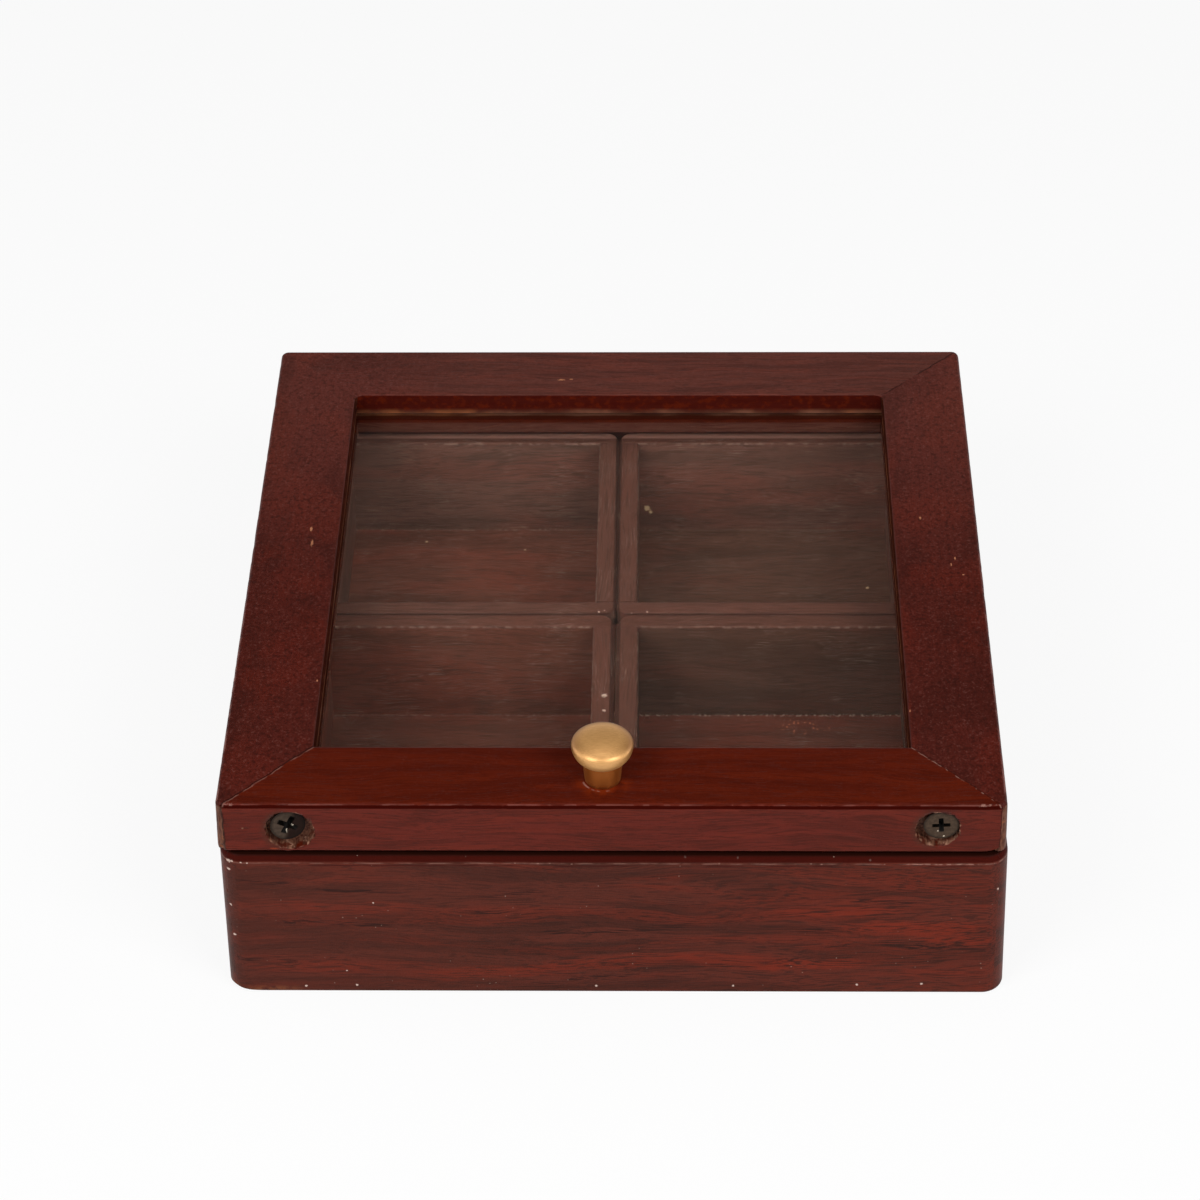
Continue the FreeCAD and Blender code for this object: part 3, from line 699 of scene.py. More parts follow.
class LidWood(Wood):
    """A lid member's wood, with its places in the lid."""

    def __init__(self, *board):
        super().__init__(*board)
        inner_x = self.inset(self.x, opening_low.x, opening_high.x)
        inner_y = self.inset(self.y, opening_low.y, opening_high.y)
        self.into_opening = self.math("MINIMUM", inner_x, inner_y)
        self.from_side = self.inset(self.x, lid_low.x, lid_high.x)
        self.from_front = self.math("SUBTRACT", self.y, lid_low.y)
        self.from_top = self.math("SUBTRACT", lid_high.z, self.z)
        below_top = self.rise(self.from_top, *inner_face_depths)
        self.inner_face = self.both(self.rise(self.into_opening, *inner_face_reach), below_top)
        self.front_face = self.rise(self.from_front, *front_face_depths)
        self.dull = self.inner_face

    def wear_and_shade_opening(self, lip, mottle):
        """Lip over the glass painted dark, with a raw strip at its foot, and painted shade on the ledge under
        the glass, with raw wood further in.
        """
        self.cover(lip, self.inner_face, lip_share)
        self.cover(mottle, self.inner_face, self.patches(*mottle_patches), mottle_share)
        foot = self.near(self.wavering(self.z, *strip_sway), glass_high.z + strip_lift, strip_reach)
        bright = self.either(self.between(self.x, *bright_left), self.rise(self.x, *bright_right))
        bright = self.both(bright, self.patches(*bright_patches), bright_share)
        raw = self.mix(self.patches(*strip_patches), raw_dark, raw_brown)
        raw = self.mix(bright, raw, raw_orange)
        self.cover(raw, self.inner_face, foot, strip_share)
        below = self.both(self.inner_face, self.rise(self.z, *under_glass_drops, glass_low.z))
        self.cover(under_glass, below)
        self.cover(lip_brown, below, self.rise(self.fibres, *under_glass_fibres), under_glass_share)
        at_ledge = self.between(self.z, glass_low.z - ledge_drop, glass_low.z + ledge_rise, ledge_soft)
        ledge = self.both(at_ledge, self.rise(self.into_opening, *ledge_reach))
        # Painted shade: the ledge under the glass, dark in the groove
        self.cover(painted_ledge_shade, ledge)
        deep = self.rise(self.wavering(self.into_opening, *ledge_sway), *ledge_raw_reach)
        self.cover(raw, ledge, deep, ledge_raw_share)

    def wear_and_highlight_edges(self):
        """Thin pale lines along the outer arrises painted as highlights, worn chips, and the stain that
        gathers under the front one.
        """
        at_front = self.rise(self.from_front, *stain_face_depths)
        band = self.between(self.wavering(self.from_top, *stain_sway), *stain_band)
        under_arris = self.both(at_front, band)
        self.cover(arris_dark, under_arris, stain_share)
        self.dull = self.either(self.dull, self.both(under_arris, stain_dull_share))
        # Painted highlights: thin pale lines along the front and side arrises
        arris = self.math("ADD", self.from_front, self.from_top)
        self.wear(front_highlight_layer, self.rise(arris, *front_highlight))
        for low, high in front_arris_chips:
            at_chip = self.between(self.x, low, high, arris_chip_soft)
            self.wear(arris_chip_wear, self.rise(arris, *arris_chip), at_chip)
        side_arris = self.math("ADD", self.from_side, self.from_top)
        self.wear(side_highlight_layer, self.rise(side_arris, *side_highlight), self.rise(self.y, *side_highlight_run))
        for x, y, across, along in lid_top_chips:
            self.cover(chip_orange, self.spot((x, y, lid_high.z), (across, along, top_chip_depth)))

    def seam(self, tip, inner):
        """Signed distance from the line of a mitre in plan, swaying a little."""
        along = (Vector(inner) - Vector(tip)).normalized()
        gap = self.along((*tip, 0), (-along.y, along.x, 0))
        return self.wavering(gap, *seam_sway)

    def quarter(self, side, row):
        """The quarter of the lid on a side, -1 for left, and in a row, -1 for front."""
        return self.both(self.rise(self.y, 0, row * quarter_fade), self.rise(self.x, 0, side * quarter_fade))


# Mitres: where their dark and pale lines lie beside the joint with their reach, and how strongly they show
seam_top_depths = (0.9, 0.6)
left_seam = (0.1, 0.3)
left_seam_share = 0.8
left_pale = (-0.2, 0.22)
left_pale_wear = PatchLayer(worn_line_and_highlight, 2.5, 0.35, 0.55, 0.35)
right_seam = (0, 0.2)
right_seam_share = 0.6
right_pale = (0.15, 0.22)
right_pale_wear = PatchLayer(worn_line_and_highlight, 1.4, 0.5, 0.62, 0.5)
back_seam = (0, 0.32)
back_seam_wear = PatchLayer(seam_dark, 6, 0.35, 0.5, 0.8)


def wear_seams(wood):
    """Mitre lines: pale at the front left, broken at the front right, dark at the back right."""
    left = wood.seam((rail_low.x, lid_low.y), (opening_low.x, opening_low.y))
    right = wood.seam((rail_high.x, lid_low.y), (opening_high.x, opening_low.y))
    back = wood.seam((lid_high.x, lid_high.y), (opening_high.x, opening_high.y))
    at_left = wood.quarter(-1, -1)
    at_right = wood.quarter(1, -1)
    at_back = wood.quarter(1, 1)
    at_top = wood.rise(wood.from_top, *seam_top_depths)
    wood.cover(seam_dark, wood.near(left, *left_seam), at_left, left_seam_share)
    wood.wear(left_pale_wear, wood.near(left, *left_pale), at_left, at_top)
    wood.cover(seam_dark, wood.near(right, *right_seam), at_right, right_seam_share)
    wood.wear(right_pale_wear, wood.near(right, *right_pale), at_right, at_top)
    wood.wear(back_seam_wear, wood.near(back, *back_seam), at_back)


# Knob foot: the painted reflection of the brass and the line of varnish round it, as distances from its
# middle
foot_front = (1.0, -2.0)
foot_left = (2.0, 0.5)
brass_reflection_radii = (7.0, 3.6)
brass_reflection_layer = PatchLayer(painted_brass_reflection, 2.5, 0.35, 0.6, 0.45)
varnish_ring = (4.0, 0.3)
varnish_wear = PatchLayer(worn_line_and_highlight, 1.5, 0.4, 0.55, 0.7)


def knob_foot_reflection_and_varnish(wood):
    """A warm painted reflection of the brass and a pale line of varnish on the rail round the knob's foot."""
    foot = Vector((knob_middle.x, knob_middle.y, knob_low.z))
    gap = wood.length(wood.vector("SUBTRACT", wood.place, foot))
    before = wood.rise(wood.y, *foot_front, foot.y)
    # Painted reflection: the brass's warm glow on the varnish in front of the foot
    wood.wear(brass_reflection_layer, wood.rise(gap, *brass_reflection_radii), before)
    at_left = wood.rise(wood.x, *foot_left, foot.x)
    wood.wear(varnish_wear, wood.near(gap, *varnish_ring), before, at_left)


# Counterbores: how far their raw fibres and the painted shade on their left reach beyond the radius, and how
# deep from the front
bore_sway = (1.2, 0.7)
bore_front_depths = (6, 3)
left_bore_shade_reach = (1.8, 0.3)
left_bore_shade_run = (1, -3)
left_bore_shade_share = 0.6
bore_fibre_sizes = (0.5, 2.5, 0.5)
bore_fibre_levels = (0.35, 0.65)
bore_raw_reach = (0.3, 0)
bore_rim_offset = 0.1
bore_rim_reach = 0.25
bore_rim_wear = PatchLayer(raw_pale, 1.4, 0.5, 0.65, 0.7)


def wear_screw_holes(wood):
    """Raw fibres in and round the rough counterbores of the corner screws, with painted shade on the left of
    each.
    """
    at_front = wood.rise(wood.from_front, *bore_front_depths)
    for middle_x, middle_z, radius in corner_bores:
        run = wood.math("SUBTRACT", wood.x, middle_x)
        offset = wood.vector("SUBTRACT", wood.place, (middle_x, 0, middle_z))
        gap = wood.length(wood.vector("MULTIPLY", offset, (1, 0, 1)))
        ragged = wood.wavering(gap, *bore_sway)
        # Painted shade: a dark halo on the left side of each counterbore
        left_bore_shade = wood.rise(ragged, *left_bore_shade_reach, radius)
        wood.cover(raw_dark, left_bore_shade, at_front, wood.rise(run, *left_bore_shade_run), left_bore_shade_share)
        fibres = wood.noise(bore_fibre_sizes, detail=4)
        raw = wood.mix(wood.rise(fibres, *bore_fibre_levels), raw_dark, raw_brown)
        wood.cover(raw, wood.rise(ragged, *bore_raw_reach, radius), at_front)
        wood.wear(bore_rim_wear, wood.near(ragged, radius + bore_rim_offset, bore_rim_reach), at_front)


# Nicks on the lid's front, as (x, z, size across, size up, shade)
front_face_nicks = (
    (-71.1, 44.0, 0.3, 0.26, raw_brown),
    (-70.4, 44.2, 0.2, 0.2, raw_dark),
    (-65.3, 38.7, 1.2, 0.25, nick_orange),
)

# Lid members: the seeds of their figure, and where the back rail and the stiles change tone
front_rail_seed = 11
back_rail_seed = 12
stile_seeds = {"left": 13, "right": 14}
back_rail_left = (-30, -60)
stile_back = (-20, 70)
stile_specks = (3.2, 0.5, 0.35)
stile_speck_share = 0.55
stile_fibre_sizes = (0.25, 4.0, 2.2)
stile_fibre_levels = (0.38, 0.62)
stile_orange_patches = (1.5, 0.55, 0.7)
stile_end_depths = (1.4, 1.0)
stile_end_tops = (0.5, 0.9)
stile_end_share = 0.9


def dress_front_rail():
    wood = LidWood("lid_front_rail_wood", "x", front_rail_seed, front_rail_shades, rail_figure)
    wood.cover(wood.stain(face_shades, face_figure), wood.front_face)
    for x, z, across, tall, shade in front_face_nicks:
        wood.cover(shade, wood.spot((x, 0, z), (across, 0, tall)), wood.front_face)
    knob_foot_reflection_and_varnish(wood)
    wood.wear_and_shade_opening(deep_red_stain_and_shade, front_rail_shades.red)
    wood.wear_and_highlight_edges()
    wear_seams(wood)
    wear_screw_holes(wood)
    dress("lid_front_rail", wood.done(front_rail_gloss))


def dress_back_rail():
    wood = LidWood("lid_back_rail_wood", "x", back_rail_seed, back_rail_shades, back_rail_figure)
    wood.cover(wood.stain(back_stile_shades, stile_figure), wood.rise(wood.x, *back_rail_left))
    wood.wear_and_shade_opening(deep_red_stain_and_shade, front_rail_shades.red)
    wood.wear_and_highlight_edges()
    wear_seams(wood)
    dress("lid_back_rail", wood.done(lid_gloss))


def dress_stiles():
    for side, seed in stile_seeds.items():
        wood = LidWood(f"lid_{side}_stile_wood", "y", seed, stile_shades, stile_figure)
        wood.cover(wood.stain(back_stile_shades, stile_figure), wood.rise(wood.y, *stile_back))
        wood.cover(stile_shades.dark, wood.specks(*stile_specks), stile_speck_share)
        fibres = wood.noise(stile_fibre_sizes, detail=4)
        raw = wood.mix(wood.rise(fibres, *stile_fibre_levels), raw_dark, raw_brown)
        raw = wood.mix(wood.patches(*stile_orange_patches), raw, raw_orange)
        wood.wear_and_shade_opening(lip_brown, lip_mottle)
        wood.wear_and_highlight_edges()
        at_end = wood.rise(wood.from_front, *stile_end_depths)
        wood.cover(raw, at_end, wood.rise(wood.from_top, *stile_end_tops), stile_end_share)
        wear_seams(wood)
        dress(f"lid_{side}_stile", wood.done(lid_gloss))


# Bits on the trays, as places with a size: crumbs on the floors and walls, and on the rims pale chips and,
# near the middle, painted glints
tray_crumbs = (
    (6.2, 60.5, 15.6, 0.9), (7.0, 60.5, 14.6, 0.6), (-44.0, 56.1, 9.5, 0.4), (-21.5, 53.2, 9.5, 0.35),
    (55.5, 39.4, 9.5, 0.5),
)
rim_chips_and_glints = (
    (-2.1, -26.5, 33.9, 0.7), (-2.1, -31.2, 33.9, 0.45), (-3.6, 0.7, 33.9, 0.32), (-2.4, 1.2, 33.9, 0.2),
    (2.1, 0.1, 33.9, 0.34), (3.3, 0.3, 33.9, 0.2), (6.6, 0.7, 33.9, 0.24),
)
crumb_heap = (40.2, -7.7)
crumb_heap_reach = (6.5, 3.2)
heap_specks = (0.8, 0.34, 0.6)

# Trays: depths below the rim or in from the outside of each stain, of the painted shade at the rim's outer
# edges and of the painted light under the lid, and how strongly each shows
first_tray_seed = 21
outside_depths = (0.3, 0.1)
outside_drops = (4, 9)
rim_drops = (0.7, 0.3)
rim_share = 0.85
rim_fibres = (0.52, 0.36)
rim_fibre_share = 0.5
rim_edge_shade = (0.4, -0.05)
rim_edge_shade_share = 0.95
scuff_reach = 0.4
scuff_wear = PatchLayer(dust_pale, 1.3, 0.45, 0.65, 0.3)
under_lid_run = (3, 4)
under_lid_drops = (2.8, 0.6)
under_lid_share = 0.85
scratch_sizes = (16, 0.45, 0.45)
scratch_reach = 0.018
scratch_wear = PatchLayer(dust_pale, 8, 0.5, 0.62, 0.35)
dust_heights = (0.5, 0.1)
dust_run = (-0.6, -0.2)
dust_patches = (0.6, 0.48, 0.62)


def wear_light_and_shade_tray(wood, low, high, floor, wall, dust_share):
    """Raw outer faces, a worn rim with painted shade at its outer edges, painted light on the rim under the
    lid, scratched walls, and dust where the floor meets the back wall.
    """
    below = wood.math("SUBTRACT", high.z, wood.z)
    from_outside = wood.math("MINIMUM", wood.inset(wood.x, low.x, high.x),
                             wood.inset(wood.y, low.y, high.y))
    wood.cover(tray_outside, wood.rise(from_outside, *outside_depths), wood.rise(below, *outside_drops))
    rim = wood.rise(below, *rim_drops)
    wood.cover(rim_brown, rim, rim_share)
    wood.cover(rim_dark_grain_and_shade, rim, wood.rise(wood.fibres, *rim_fibres), rim_fibre_share)
    # Painted shade: the rim darkened at its outer edges, where the trays meet
    wood.cover(rim_dark_grain_and_shade, rim, wood.rise(from_outside, *rim_edge_shade), rim_edge_shade_share)
    wood.wear(scuff_wear, rim, wood.near(from_outside, wall, scuff_reach))
    # Painted light: the rim and top of the wall under the lid's edge made paler against the lid's shadow
    behind = wood.rise(wood.y, *under_lid_run, opening_high.y)
    wood.cover(painted_light_under_lid, behind, wood.rise(below, *under_lid_drops), under_lid_share)
    scratches = wood.noise(scratch_sizes, place=wood.board)
    wood.wear(scratch_wear, wood.near(scratches, noise_middle, scratch_reach))
    at_floor = wood.rise(wood.z, *dust_heights, floor.z)
    at_back = wood.rise(wood.y, *dust_run, floor.y)
    wood.cover(dust_pale, at_floor, at_back, wood.patches(*dust_patches), dust_share)
    # Crumbs and chips, and painted glints among the rim chips
    for bits, shade in ((tray_crumbs, crumb_pale), (rim_chips_and_glints, rim_chip_and_glint_white)):
        for x, y, z, size in bits:
            wood.cover(shade, wood.spot((x, y, z), (size, size, size)))


def scatter_crumbs(wood):
    """A loose heap of fine orange crumbs on a tray's floor."""
    heap = wood.spot((*crumb_heap, 0), (*crumb_heap_reach, 0))
    wood.cover(crumb_orange, heap, wood.specks(*heap_specks))


def tray_shades(tone):
    """Shades of a tray's wood round its middle tone."""
    return Shades(tinted(tone, *tray_dark_tint), tone, tinted(tone, *tray_red_tint))


def dress_trays():
    seed = first_tray_seed
    boards = (("front", "x"), ("back", "x"), ("left", "y"), ("right", "y"), ("bottom", "x"))
    for (row, side), look in tray_looks.items():
        tray = f"{row}_{side}_tray"
        low, high = span(*(f"{tray}_{board}" for board, _ in boards))
        floor = span(f"{tray}_bottom")[1]
        wall = high.y - floor.y
        for board, grain in boards:
            shades = tray_shades(look.floor if board == "bottom" else look.wall)
            wood = Wood(f"{tray}_{board}_wood", grain, seed, shades, tray_figure)
            seed += 1
            wear_light_and_shade_tray(wood, low, high, floor, wall, look.dust_share)
            if low.x < crumb_heap[0] < high.x and low.y < crumb_heap[1] < high.y and board == "bottom":
                scatter_crumbs(wood)
            dress(f"{tray}_{board}", wood.done(tray_gloss))
    floor_board = Wood("floor_board_wood", "x", seed, tray_shades(floor_board_pale), tray_figure)
    dress("base_floor", floor_board.done(tray_gloss))


# Glass: its tint, and the thin film of dust that fades out towards the back
pane_tint = (0.96, 0.97, 0.95, 1)
pane_shadow = (0.9, 0.92, 0.9, 1)
pane_bend = 1.5
film_patches = (18, 0.35, 0.7, 4)
film_share = 0.004
film_patch_share = 0.003
film_fade = 9


def make_glass():
    finish = Finish("pane_glass")
    finish.set(Base_Color=pane_tint, Roughness=0.0, IOR=pane_bend, Transmission_Weight=1.0)
    dust = finish.node("BsdfDiffuse", {"Color": film_dust})
    film = finish.math("MULTIPLY_ADD", finish.patches(*film_patches), film_patch_share, film_share)
    film = finish.both(film, finish.rise(finish.y, opening_high.y, opening_high.y - film_fade))
    dusty = finish.node("MixShader", {0: film, 1: finish.shader.outputs[0], 2: dust.outputs[0]})
    clear = finish.node("BsdfTransparent", {"Color": pane_shadow})
    shadow = finish.node("LightPath", {}).outputs["Is Shadow Ray"]
    pane = finish.node("MixShader", {0: shadow, 1: dusty.outputs[0], 2: clear.outputs[0]})
    finish.links.new(pane.outputs[0], finish.output.inputs["Surface"])
    return finish.material


# Metals: brushed brass, with painted shade at the back of the knob's rim, and patchy steel
brush_sizes = (2.0, 0.12, 0.12)
brush_levels = (0.35, 0.7)
back_shade_radii = (3.4, 6.1)
back_shade_run = (-4.5, -1.5)
back_shade_share = 0.8
neck_soft = 0.1
knob_roughness = 0.4
knob_metal_share = 0.5
neck_metal_gain = 0.3
neck_brush_share = 0.8
neck_brush_turn = 0.25
hinge_metal_share = 0.85
hinge_roughness = 0.38
steel_patches = (0.8, 0.35, 0.65)
steel_dark_tint = (0.6, 0.6, 0.6)
steel_metal_share = 0.6
steel_roughness = 0.42


def brushed_tint(finish, shade, tarnish):
    """Two tones of a metal in fine brushed streaks."""
    brushed = finish.noise(brush_sizes, detail=3)
    return finish.mix(finish.rise(brushed, *brush_levels), shade, tarnish)


def make_knob_brass():
    finish = Finish("knob_brass")
    tint = brushed_tint(finish, knob_pale, knob_brown)
    from_axis = finish.vector("SUBTRACT", finish.place, (knob_middle.x, knob_middle.y, 0))
    radius = finish.length(finish.vector("MULTIPLY", from_axis, (1, 1, 0)))
    # Painted shade: the back of the dome and rim darker
    behind = finish.rise(finish.y, *back_shade_run, knob_middle.y)
    shaded_back = finish.both(finish.rise(radius, *back_shade_radii), behind, back_shade_share)
    tint = finish.mix(shaded_back, tint, knob_back_shade)
    neck_top = knob_low.z + knob_neck_height
    neck = finish.rise(finish.z, neck_top, neck_top - neck_soft)
    tint = finish.mix(neck, tint, neck_brass)
    metal = finish.math("MULTIPLY_ADD", neck, neck_metal_gain, knob_metal_share)
    turned = finish.node("Tangent", {}, direction_type="RADIAL", axis="Z").outputs["Tangent"]
    finish.set(Base_Color=tint, Metallic=metal, Roughness=knob_roughness)
    brushed = finish.both(neck, neck_brush_share)
    finish.set(Tangent=turned, Anisotropic=brushed, Anisotropic_Rotation=neck_brush_turn)
    return finish.material


def make_hinge_brass():
    finish = Finish("hinge_brass")
    tint = brushed_tint(finish, hinge_pale, hinge_brown)
    finish.set(Base_Color=tint, Metallic=hinge_metal_share, Roughness=hinge_roughness)
    return finish.material


def make_steel(name, shade):
    finish = Finish(name)
    tint = finish.mix(finish.patches(*steel_patches), tinted(shade, *steel_dark_tint), shade)
    finish.set(Base_Color=tint, Metallic=steel_metal_share, Roughness=steel_roughness)
    return finish.material


# Corner screws: painted glints on them, as (x, z, size), and the dark places of their heads, painted shade
painted_screw_glints = ((-61.6, 43.3, 0.3), (-62.7, 42.5, 0.2), (62.9, 43.2, 0.18), (64.1, 41.9, 0.2))
rust_patches = (0.7, 0.35, 0.65)
rust_dark_tint = (0.7, 0.7, 0.7)
sunk_direction = (0.95, 0, -0.31)
sunk_run = (-0.3, 0.9)
head_edge_radii = (2.7, 3.4)
head_edge_share = 0.6
cross_depths = (0.08, 0.22)
cross_radii = (3.0, 2.6)
screw_roughness = 0.55
screw_specular = 0.06
left_sunk_shade_share = 0.95
right_sunk_shade_share = 0.0


def make_screw_steel(node, shade, sunk_shade_share):
    """Old brown steel with painted shade: black in its cross and round its head, and, by a share, dark on the
    side of its head that is sunk in.
    """
    finish = Finish(f"{node}_steel")
    head, axis = screw_head(node)
    tint = finish.mix(finish.patches(*rust_patches), tinted(shade, *rust_dark_tint), shade)
    gap = finish.length(finish.vector("SUBTRACT", finish.place, head))
    # Painted shade: the side of the head that is sunk in, darkened by a share
    sunk = finish.rise(finish.along(head, sunk_direction), *sunk_run)
    tint = finish.mix(finish.both(sunk, sunk_shade_share), tint, painted_sunk_shade)
    # Painted shade: black round the head's edge and in its cross
    tint = finish.mix(finish.both(finish.rise(gap, *head_edge_radii), head_edge_share), tint, painted_recess_shade)
    recess = finish.both(finish.rise(finish.along(head, axis), *cross_depths), finish.rise(gap, *cross_radii))
    tint = finish.mix(recess, tint, painted_recess_shade)
    # Painted highlights: small glints on the heads
    for x, z, size in painted_screw_glints:
        tint = finish.mix(finish.spot((x, 0, z), (size, 0, size)), tint, painted_glint_pale)
    finish.set(Base_Color=tint, Metallic=0.0, Roughness=screw_roughness, Specular_IOR_Level=screw_specular)
    return finish.material


def dress_metal_and_glass():
    dress("lid_glass", make_glass())
    dress("knob", make_knob_brass())
    dress("knob_screw", make_steel("knob_screw_steel", knob_screw_grey))
    for node, shade, sunk_shade_share in (("lid_left_corner_screw", left_screw_brown, left_sunk_shade_share),
                                    ("lid_right_corner_screw", right_screw_brown, right_sunk_shade_share)):
        dress(node, make_screw_steel(node, shade, sunk_shade_share))
    hinge_brass = make_hinge_brass()
    for side in ("left", "right"):
        for piece in ("base_leaf", "lid_leaf", "pin", "base_screws", "lid_screws"):
            dress(f"{side}_hinge_{piece}", hinge_brass)


# Worn shapes: the step between cuts that give the boards points to wear, and how deep the wear goes
cut_step = 1.0
nick_depth = 0.35
nick_size = 2.4
side_nick_share = 0.4
arris_reach = 1.4
weld = 1e-4
flat_angle = 0.05
smooth_angle = 35
opening_corner_round = 1.8
rail_end_worn = (5.0, 1.5)
foot_corner_worn = (13.0, 1.3)
corner_cut_shares = (0.0, 0.15, 0.3, 0.5, 0.7, 0.85, 1.0)
fractal_fall = 1.0
fractal_step = 2.0
fractal_layers = 3
bore_ragged = 0.55
bore_ragged_level = 0.3
stile_end_level = 0.4
stile_end_depth = 0.35
stile_end_lift = 1.2
stile_end_bulge = 0.4
tray_gap_left = 0.1
tray_lean_start = 12.0
knob_bore_radius = 2.0
knob_foot_spread_share = 0.13
screw_spin = -24.0
screw_cross_reach = 1.95
screw_cross_depth = 1.75
screw_cross_spread_share = 0.2


def worn_copy(node, body, wear, extra_cuts=(), step=cut_step):
    """A copy of a piece cut into short facets, whose points move as a wear function of their place says."""
    shape = bmesh.new()
    shape.from_mesh(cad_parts[node].data)
    bmesh.ops.remove_doubles(shape, verts=shape.verts, dist=weld * mm)
    flat = math.radians(flat_angle)
    bmesh.ops.dissolve_limit(shape, angle_limit=flat, verts=shape.verts, edges=shape.edges)
    low, high = span(node)
    cuts = list(extra_cuts)
    for axis in range(3):
        count = int((high[axis] - low[axis]) / step)
        cuts += [(axis, low[axis] + step * number) for number in range(1, count + 1)]
    for axis, place in cuts:
        normal = Vector([float(index == axis) for index in range(3)])
        parts = shape.verts[:] + shape.edges[:] + shape.faces[:]
        bmesh.ops.bisect_plane(shape, geom=parts, dist=weld * mm,
                               plane_co=normal * place * mm, plane_no=normal)
    for vertex in shape.verts:
        vertex.co = wear(vertex.co / mm) * mm
    mesh = bpy.data.meshes.new(f"worn_{node}")
    shape.to_mesh(mesh)
    shape.free()
    mesh.shade_smooth()
    mesh.set_sharp_from_angle(angle=math.radians(smooth_angle))
    board = link(bpy.data.objects.new(f"worn_{node}", mesh))
    mesh.materials.append(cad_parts[node].data.materials[0])
    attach(board, body)
    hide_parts(node)


def clamped(share):
    return min(1.0, max(0.0, share))


def rough(place):
    """Smooth noise round 0 that gives the wear its uneven depth."""
    return noise.fractal(place, fractal_fall, fractal_step, fractal_layers)


def nick(place, gap):
    """How deep an arris is nicked at a place that lies a gap away from its edge."""
    if gap > arris_reach:
        return 0.0
    return nick_depth * max(0.0, rough(place / nick_size)) * (1 - gap / arris_reach)


def wear_lid_board(place):
    """Nicked outer arrises, and softly rounded inner corners at the back of the opening."""
    worn = place.copy()
    from_top = lid_high.z - place.z
    from_front = place.y - lid_low.y
    from_side = min(place.x - lid_low.x, lid_high.x - place.x)
    front_nick = nick(place, from_front + from_top)
    side_nick = side_nick_share * nick(place, from_side + from_top)
    worn.y += front_nick
    worn.x += math.copysign(side_nick, -place.x)
    worn.z -= front_nick + side_nick
    return round_corner(place, worn)


def round_corner(place, worn):
    """Move a point of the opening's edge onto the arc that rounds the nearer back corner."""
    corner = Vector((math.copysign(opening_high.x, place.x), opening_high.y))
    middle_x = abs(corner.x) - opening_corner_round
    middle_y = corner.y - opening_corner_round
    run = abs(place.x) - middle_x
    rise = place.y - middle_y
    if run <= 0 or rise <= 0:
        return worn
    into = max(abs(place.x) - abs(corner.x), place.y - corner.y)
    if into > opening_corner_round or place.z < glass_high.z:
        return worn
    limit = min(run, opening_corner_round), min(rise, opening_corner_round)
    reach = math.hypot(*limit)
    if reach <= opening_corner_round:
        return worn
    height_share = (place.z - glass_high.z) / (lid_high.z - glass_high.z)
    pull = (reach - opening_corner_round) * (1 - max(into, 0) / opening_corner_round) * height_share
    worn.x -= math.copysign(limit[0] / reach * pull, place.x)
    worn.y -= limit[1] / reach * pull
    return worn


def wear_front_rail(place):
    """Nicked arrises, ragged counterbores, and a right end worn round at its lower corner."""
    worn = wear_lid_board(place)
    for middle_x, middle_z, radius in corner_bores:
        out = Vector((place.x - middle_x, place.z - middle_z))
        depth = place.y - lid_low.y
        if depth < bore_depth and abs(out.length - radius) < bore_ragged:
            level = max(0.0, rough(place) + bore_ragged_level)
            push = out.normalized() * bore_ragged * level * (1 - depth / bore_depth)
            worn.x += push.x
            worn.z += push.y
    length, height = rail_end_worn
    share = clamped((place.x - rail_high.x + length) / length)
    worn.z = max(worn.z, lid_low.z + height * share ** 2)
    return worn


def wear_stile(place):
    """Nicked arrises, and a rough front end that stops short of the rail's lower edge."""
    worn = wear_lid_board(place)
    if place.y - lid_low.y < nick_size and abs(place.x) > rail_high.x:
        level = rough(place)
        near_share = 1 - (place.y - lid_low.y) / nick_size
        worn.y += stile_end_depth * max(0.0, level + stile_end_level) * near_share
        worn.z = max(worn.z, lid_low.z + stile_end_lift * (1 + level))
        bulge = stile_end_bulge * (lid_high.z - place.z) / (lid_high.z - lid_low.z)
        worn.x += math.copysign(bulge, place.x)
    return worn


def wear_base_wall(place):
    """A foot that is worn away towards the front left corner."""
    worn = place.copy()
    length, height = foot_corner_worn
    from_corner = max(place.x - base_low.x, place.y - base_low.y)
    share = clamped(1 - from_corner / length)
    worn.z = max(worn.z, height * share ** 2)
    return worn


def lean_tray_wall(node):
    """How the points of a tray's inner side move when it leans out towards the tray beside it."""
    low, high = span(node)
    face = min(abs(low.x), abs(high.x))
    furthest = face - tray_gap_left / 2

    def leaning(place):
        if abs(place.x) > face + weld:
            return place
        height_share = clamped((place.z - tray_lean_start) / (high.z - tray_lean_start))
        return place - Vector((math.copysign(furthest * height_share, place.x), 0, 0))

    return leaning


def turn_knob(place):
    """The knob with an evenly rounded dome and a wider foot."""
    axis = Vector((knob_middle.x, knob_middle.y, place.z))
    height = place.z - knob_low.z
    out = place - axis
    if height > knob_rim_height:
        share = (height - knob_rim_height) / (knob_high.z - knob_low.z - knob_rim_height)
        return axis + out.normalized() * knob_radius * math.sqrt(max(0.0, 1 - share ** 2))
    if out.length < knob_bore_radius or height > knob_neck_height:
        return place
    return axis + out * (1 + knob_foot_spread_share * (1 - height / knob_neck_height))


def turn_screw(node):
    """How the points of a screw move when it is turned on its axis and its cross is worn wider."""
    head, axis = screw_head(node)
    turn = Matrix.Rotation(math.radians(screw_spin), 3, axis)

    def turned(place):
        depth = (place - head).dot(axis)
        middle = head + axis * depth
        out = turn @ (place - middle)
        if depth < screw_cross_depth and out.length < screw_cross_reach:
            out *= 1 + screw_cross_spread_share
        return middle + out

    return turned


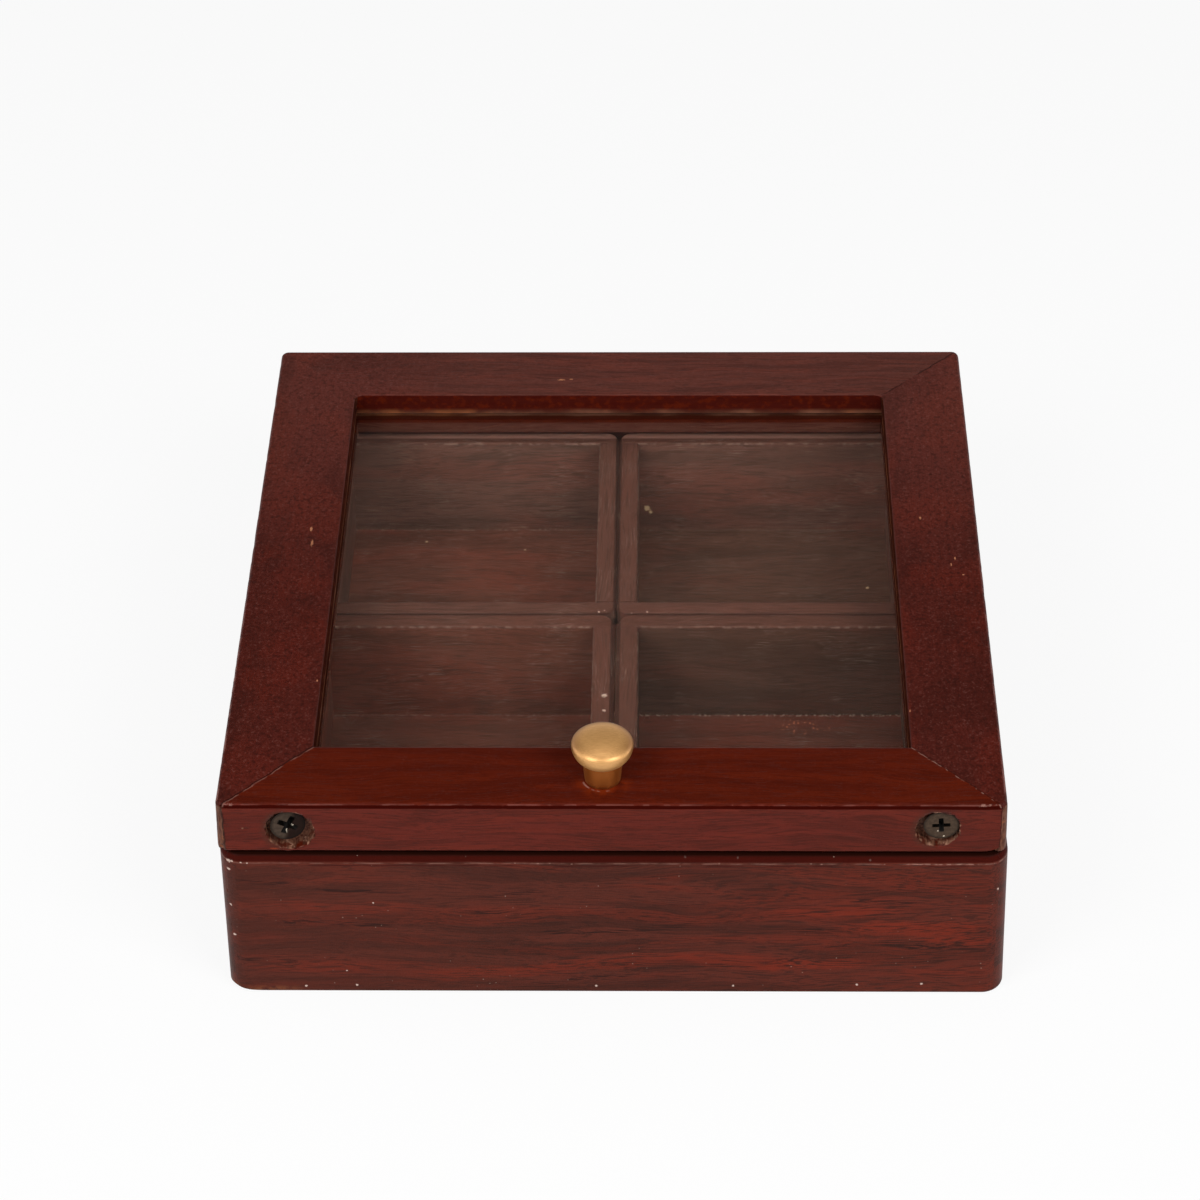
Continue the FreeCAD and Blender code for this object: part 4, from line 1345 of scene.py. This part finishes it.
def wear_boards():
    corner_cuts = []
    for share in corner_cut_shares:
        inset = opening_corner_round * share
        corner_cuts += [(0, opening_low.x + inset), (0, opening_high.x - inset), (1, opening_high.y - inset)]
    worn_copy("lid_front_rail", "lid", wear_front_rail)
    worn_copy("lid_back_rail", "lid", wear_lid_board, corner_cuts)
    for side in ("left", "right"):
        worn_copy(f"lid_{side}_stile", "lid", wear_stile, corner_cuts)
    for side in ("front", "left"):
        worn_copy(f"base_{side}_wall", "base", wear_base_wall)
    for row in ("front", "back"):
        for side, inner_wall in (("left", "right"), ("right", "left")):
            for wall in (inner_wall, "front", "back"):
                node = f"{row}_{side}_tray_{wall}"
                worn_copy(node, f"{row}_{side}_tray", lean_tray_wall(node))
    worn_copy("knob", "lid", turn_knob)
    screw = "lid_left_corner_screw"
    worn_copy(screw, "lid", turn_screw(screw), step=math.inf)


def link(item):
    bpy.context.scene.collection.objects.link(item)
    return item


def make_camera():
    data = bpy.data.cameras.new("camera")
    data.sensor_width = sensor_width
    data.lens = sensor_width * focal_pixels / image_pixels
    camera = link(bpy.data.objects.new("camera", data))
    aim = Euler((math.radians(camera_level - camera_pitch), 0, math.radians(-camera_yaw))).to_matrix()
    roll = Euler((0, 0, math.radians(-camera_roll))).to_matrix()
    camera.matrix_world = Matrix.LocRotScale(Vector(camera_place) * mm, aim @ roll, None)
    bpy.context.scene.camera = camera


def make_softbox(name, azimuth, elevation, power):
    data = bpy.data.lights.new(name, "AREA")
    data.shape = "SQUARE"
    data.size = softbox_size * mm
    data.energy = power
    lamp = link(bpy.data.objects.new(name, data))
    turn = math.radians(azimuth)
    rise = math.radians(elevation)
    towards = Vector((math.sin(turn) * math.cos(rise), -math.cos(turn) * math.cos(rise), math.sin(rise)))
    lamp.location = towards * softbox_distance * mm
    lamp.rotation_euler = towards.to_track_quat("Z", "Y").to_euler()


def make_lamps():
    front = ("softbox", softbox_azimuth, softbox_elevation, softbox_power)
    beside = ("side_softbox", side_softbox_azimuth, side_softbox_elevation, side_softbox_power)
    for name, azimuth, elevation, power in (front, beside):
        make_softbox(f"left_{name}", -azimuth, elevation, power)
        make_softbox(f"right_{name}", azimuth, elevation, power)
    make_softbox("top_softbox", 0, top_softbox_elevation, top_softbox_power)


def make_room():
    world = bpy.data.worlds.new("room")
    bpy.context.scene.world = world
    world.use_nodes = True
    room = NodeTree(world.node_tree)
    direction = room.node("TexCoord", {}).outputs["Generated"]
    up = room.node("SeparateXYZ", {0: direction}).outputs["Z"]
    inputs = {"Value": up, "From Min": horizon_top, "From Max": horizon_fade,
              "To Min": horizon_level, "To Max": room_level}
    level = room.node("MapRange", inputs, interpolation_type="SMOOTHSTEP").outputs["Result"]
    background = room.nodes["Background"].inputs
    room.feed(background["Strength"], level)
    room.feed(background["Color"], white)


def make_floor():
    mesh = bpy.data.meshes.new("floor")
    shape = bmesh.new()
    bmesh.ops.create_circle(shape, cap_ends=True, segments=floor_corners, radius=floor_radius * mm)
    shape.to_mesh(mesh)
    shape.free()
    floor = link(bpy.data.objects.new("floor", mesh))
    finish = Finish("floor_white")
    paper = finish.node("BsdfDiffuse", {"Color": (floor_shade, floor_shade, floor_shade, 1)})
    glow = finish.node("Emission", {"Color": white, "Strength": floor_level})
    path = finish.node("LightPath", {}).outputs
    seen = finish.either(path["Is Camera Ray"], path["Is Glossy Ray"], path["Is Transmission Ray"])
    share = finish.math("MULTIPLY", seen, floor_glow_share)
    mixed = finish.node("MixShader", {0: share, 1: paper.outputs[0], 2: glow.outputs[0]})
    finish.links.new(mixed.outputs[0], finish.output.inputs["Surface"])
    mesh.materials.append(finish.material)


dress_base()
dress_front_rail()
dress_back_rail()
dress_stiles()
dress_trays()
dress_metal_and_glass()
wear_boards()
make_camera()
make_lamps()
make_room()
make_floor()
bpy.context.scene.view_settings.view_transform = "Standard"
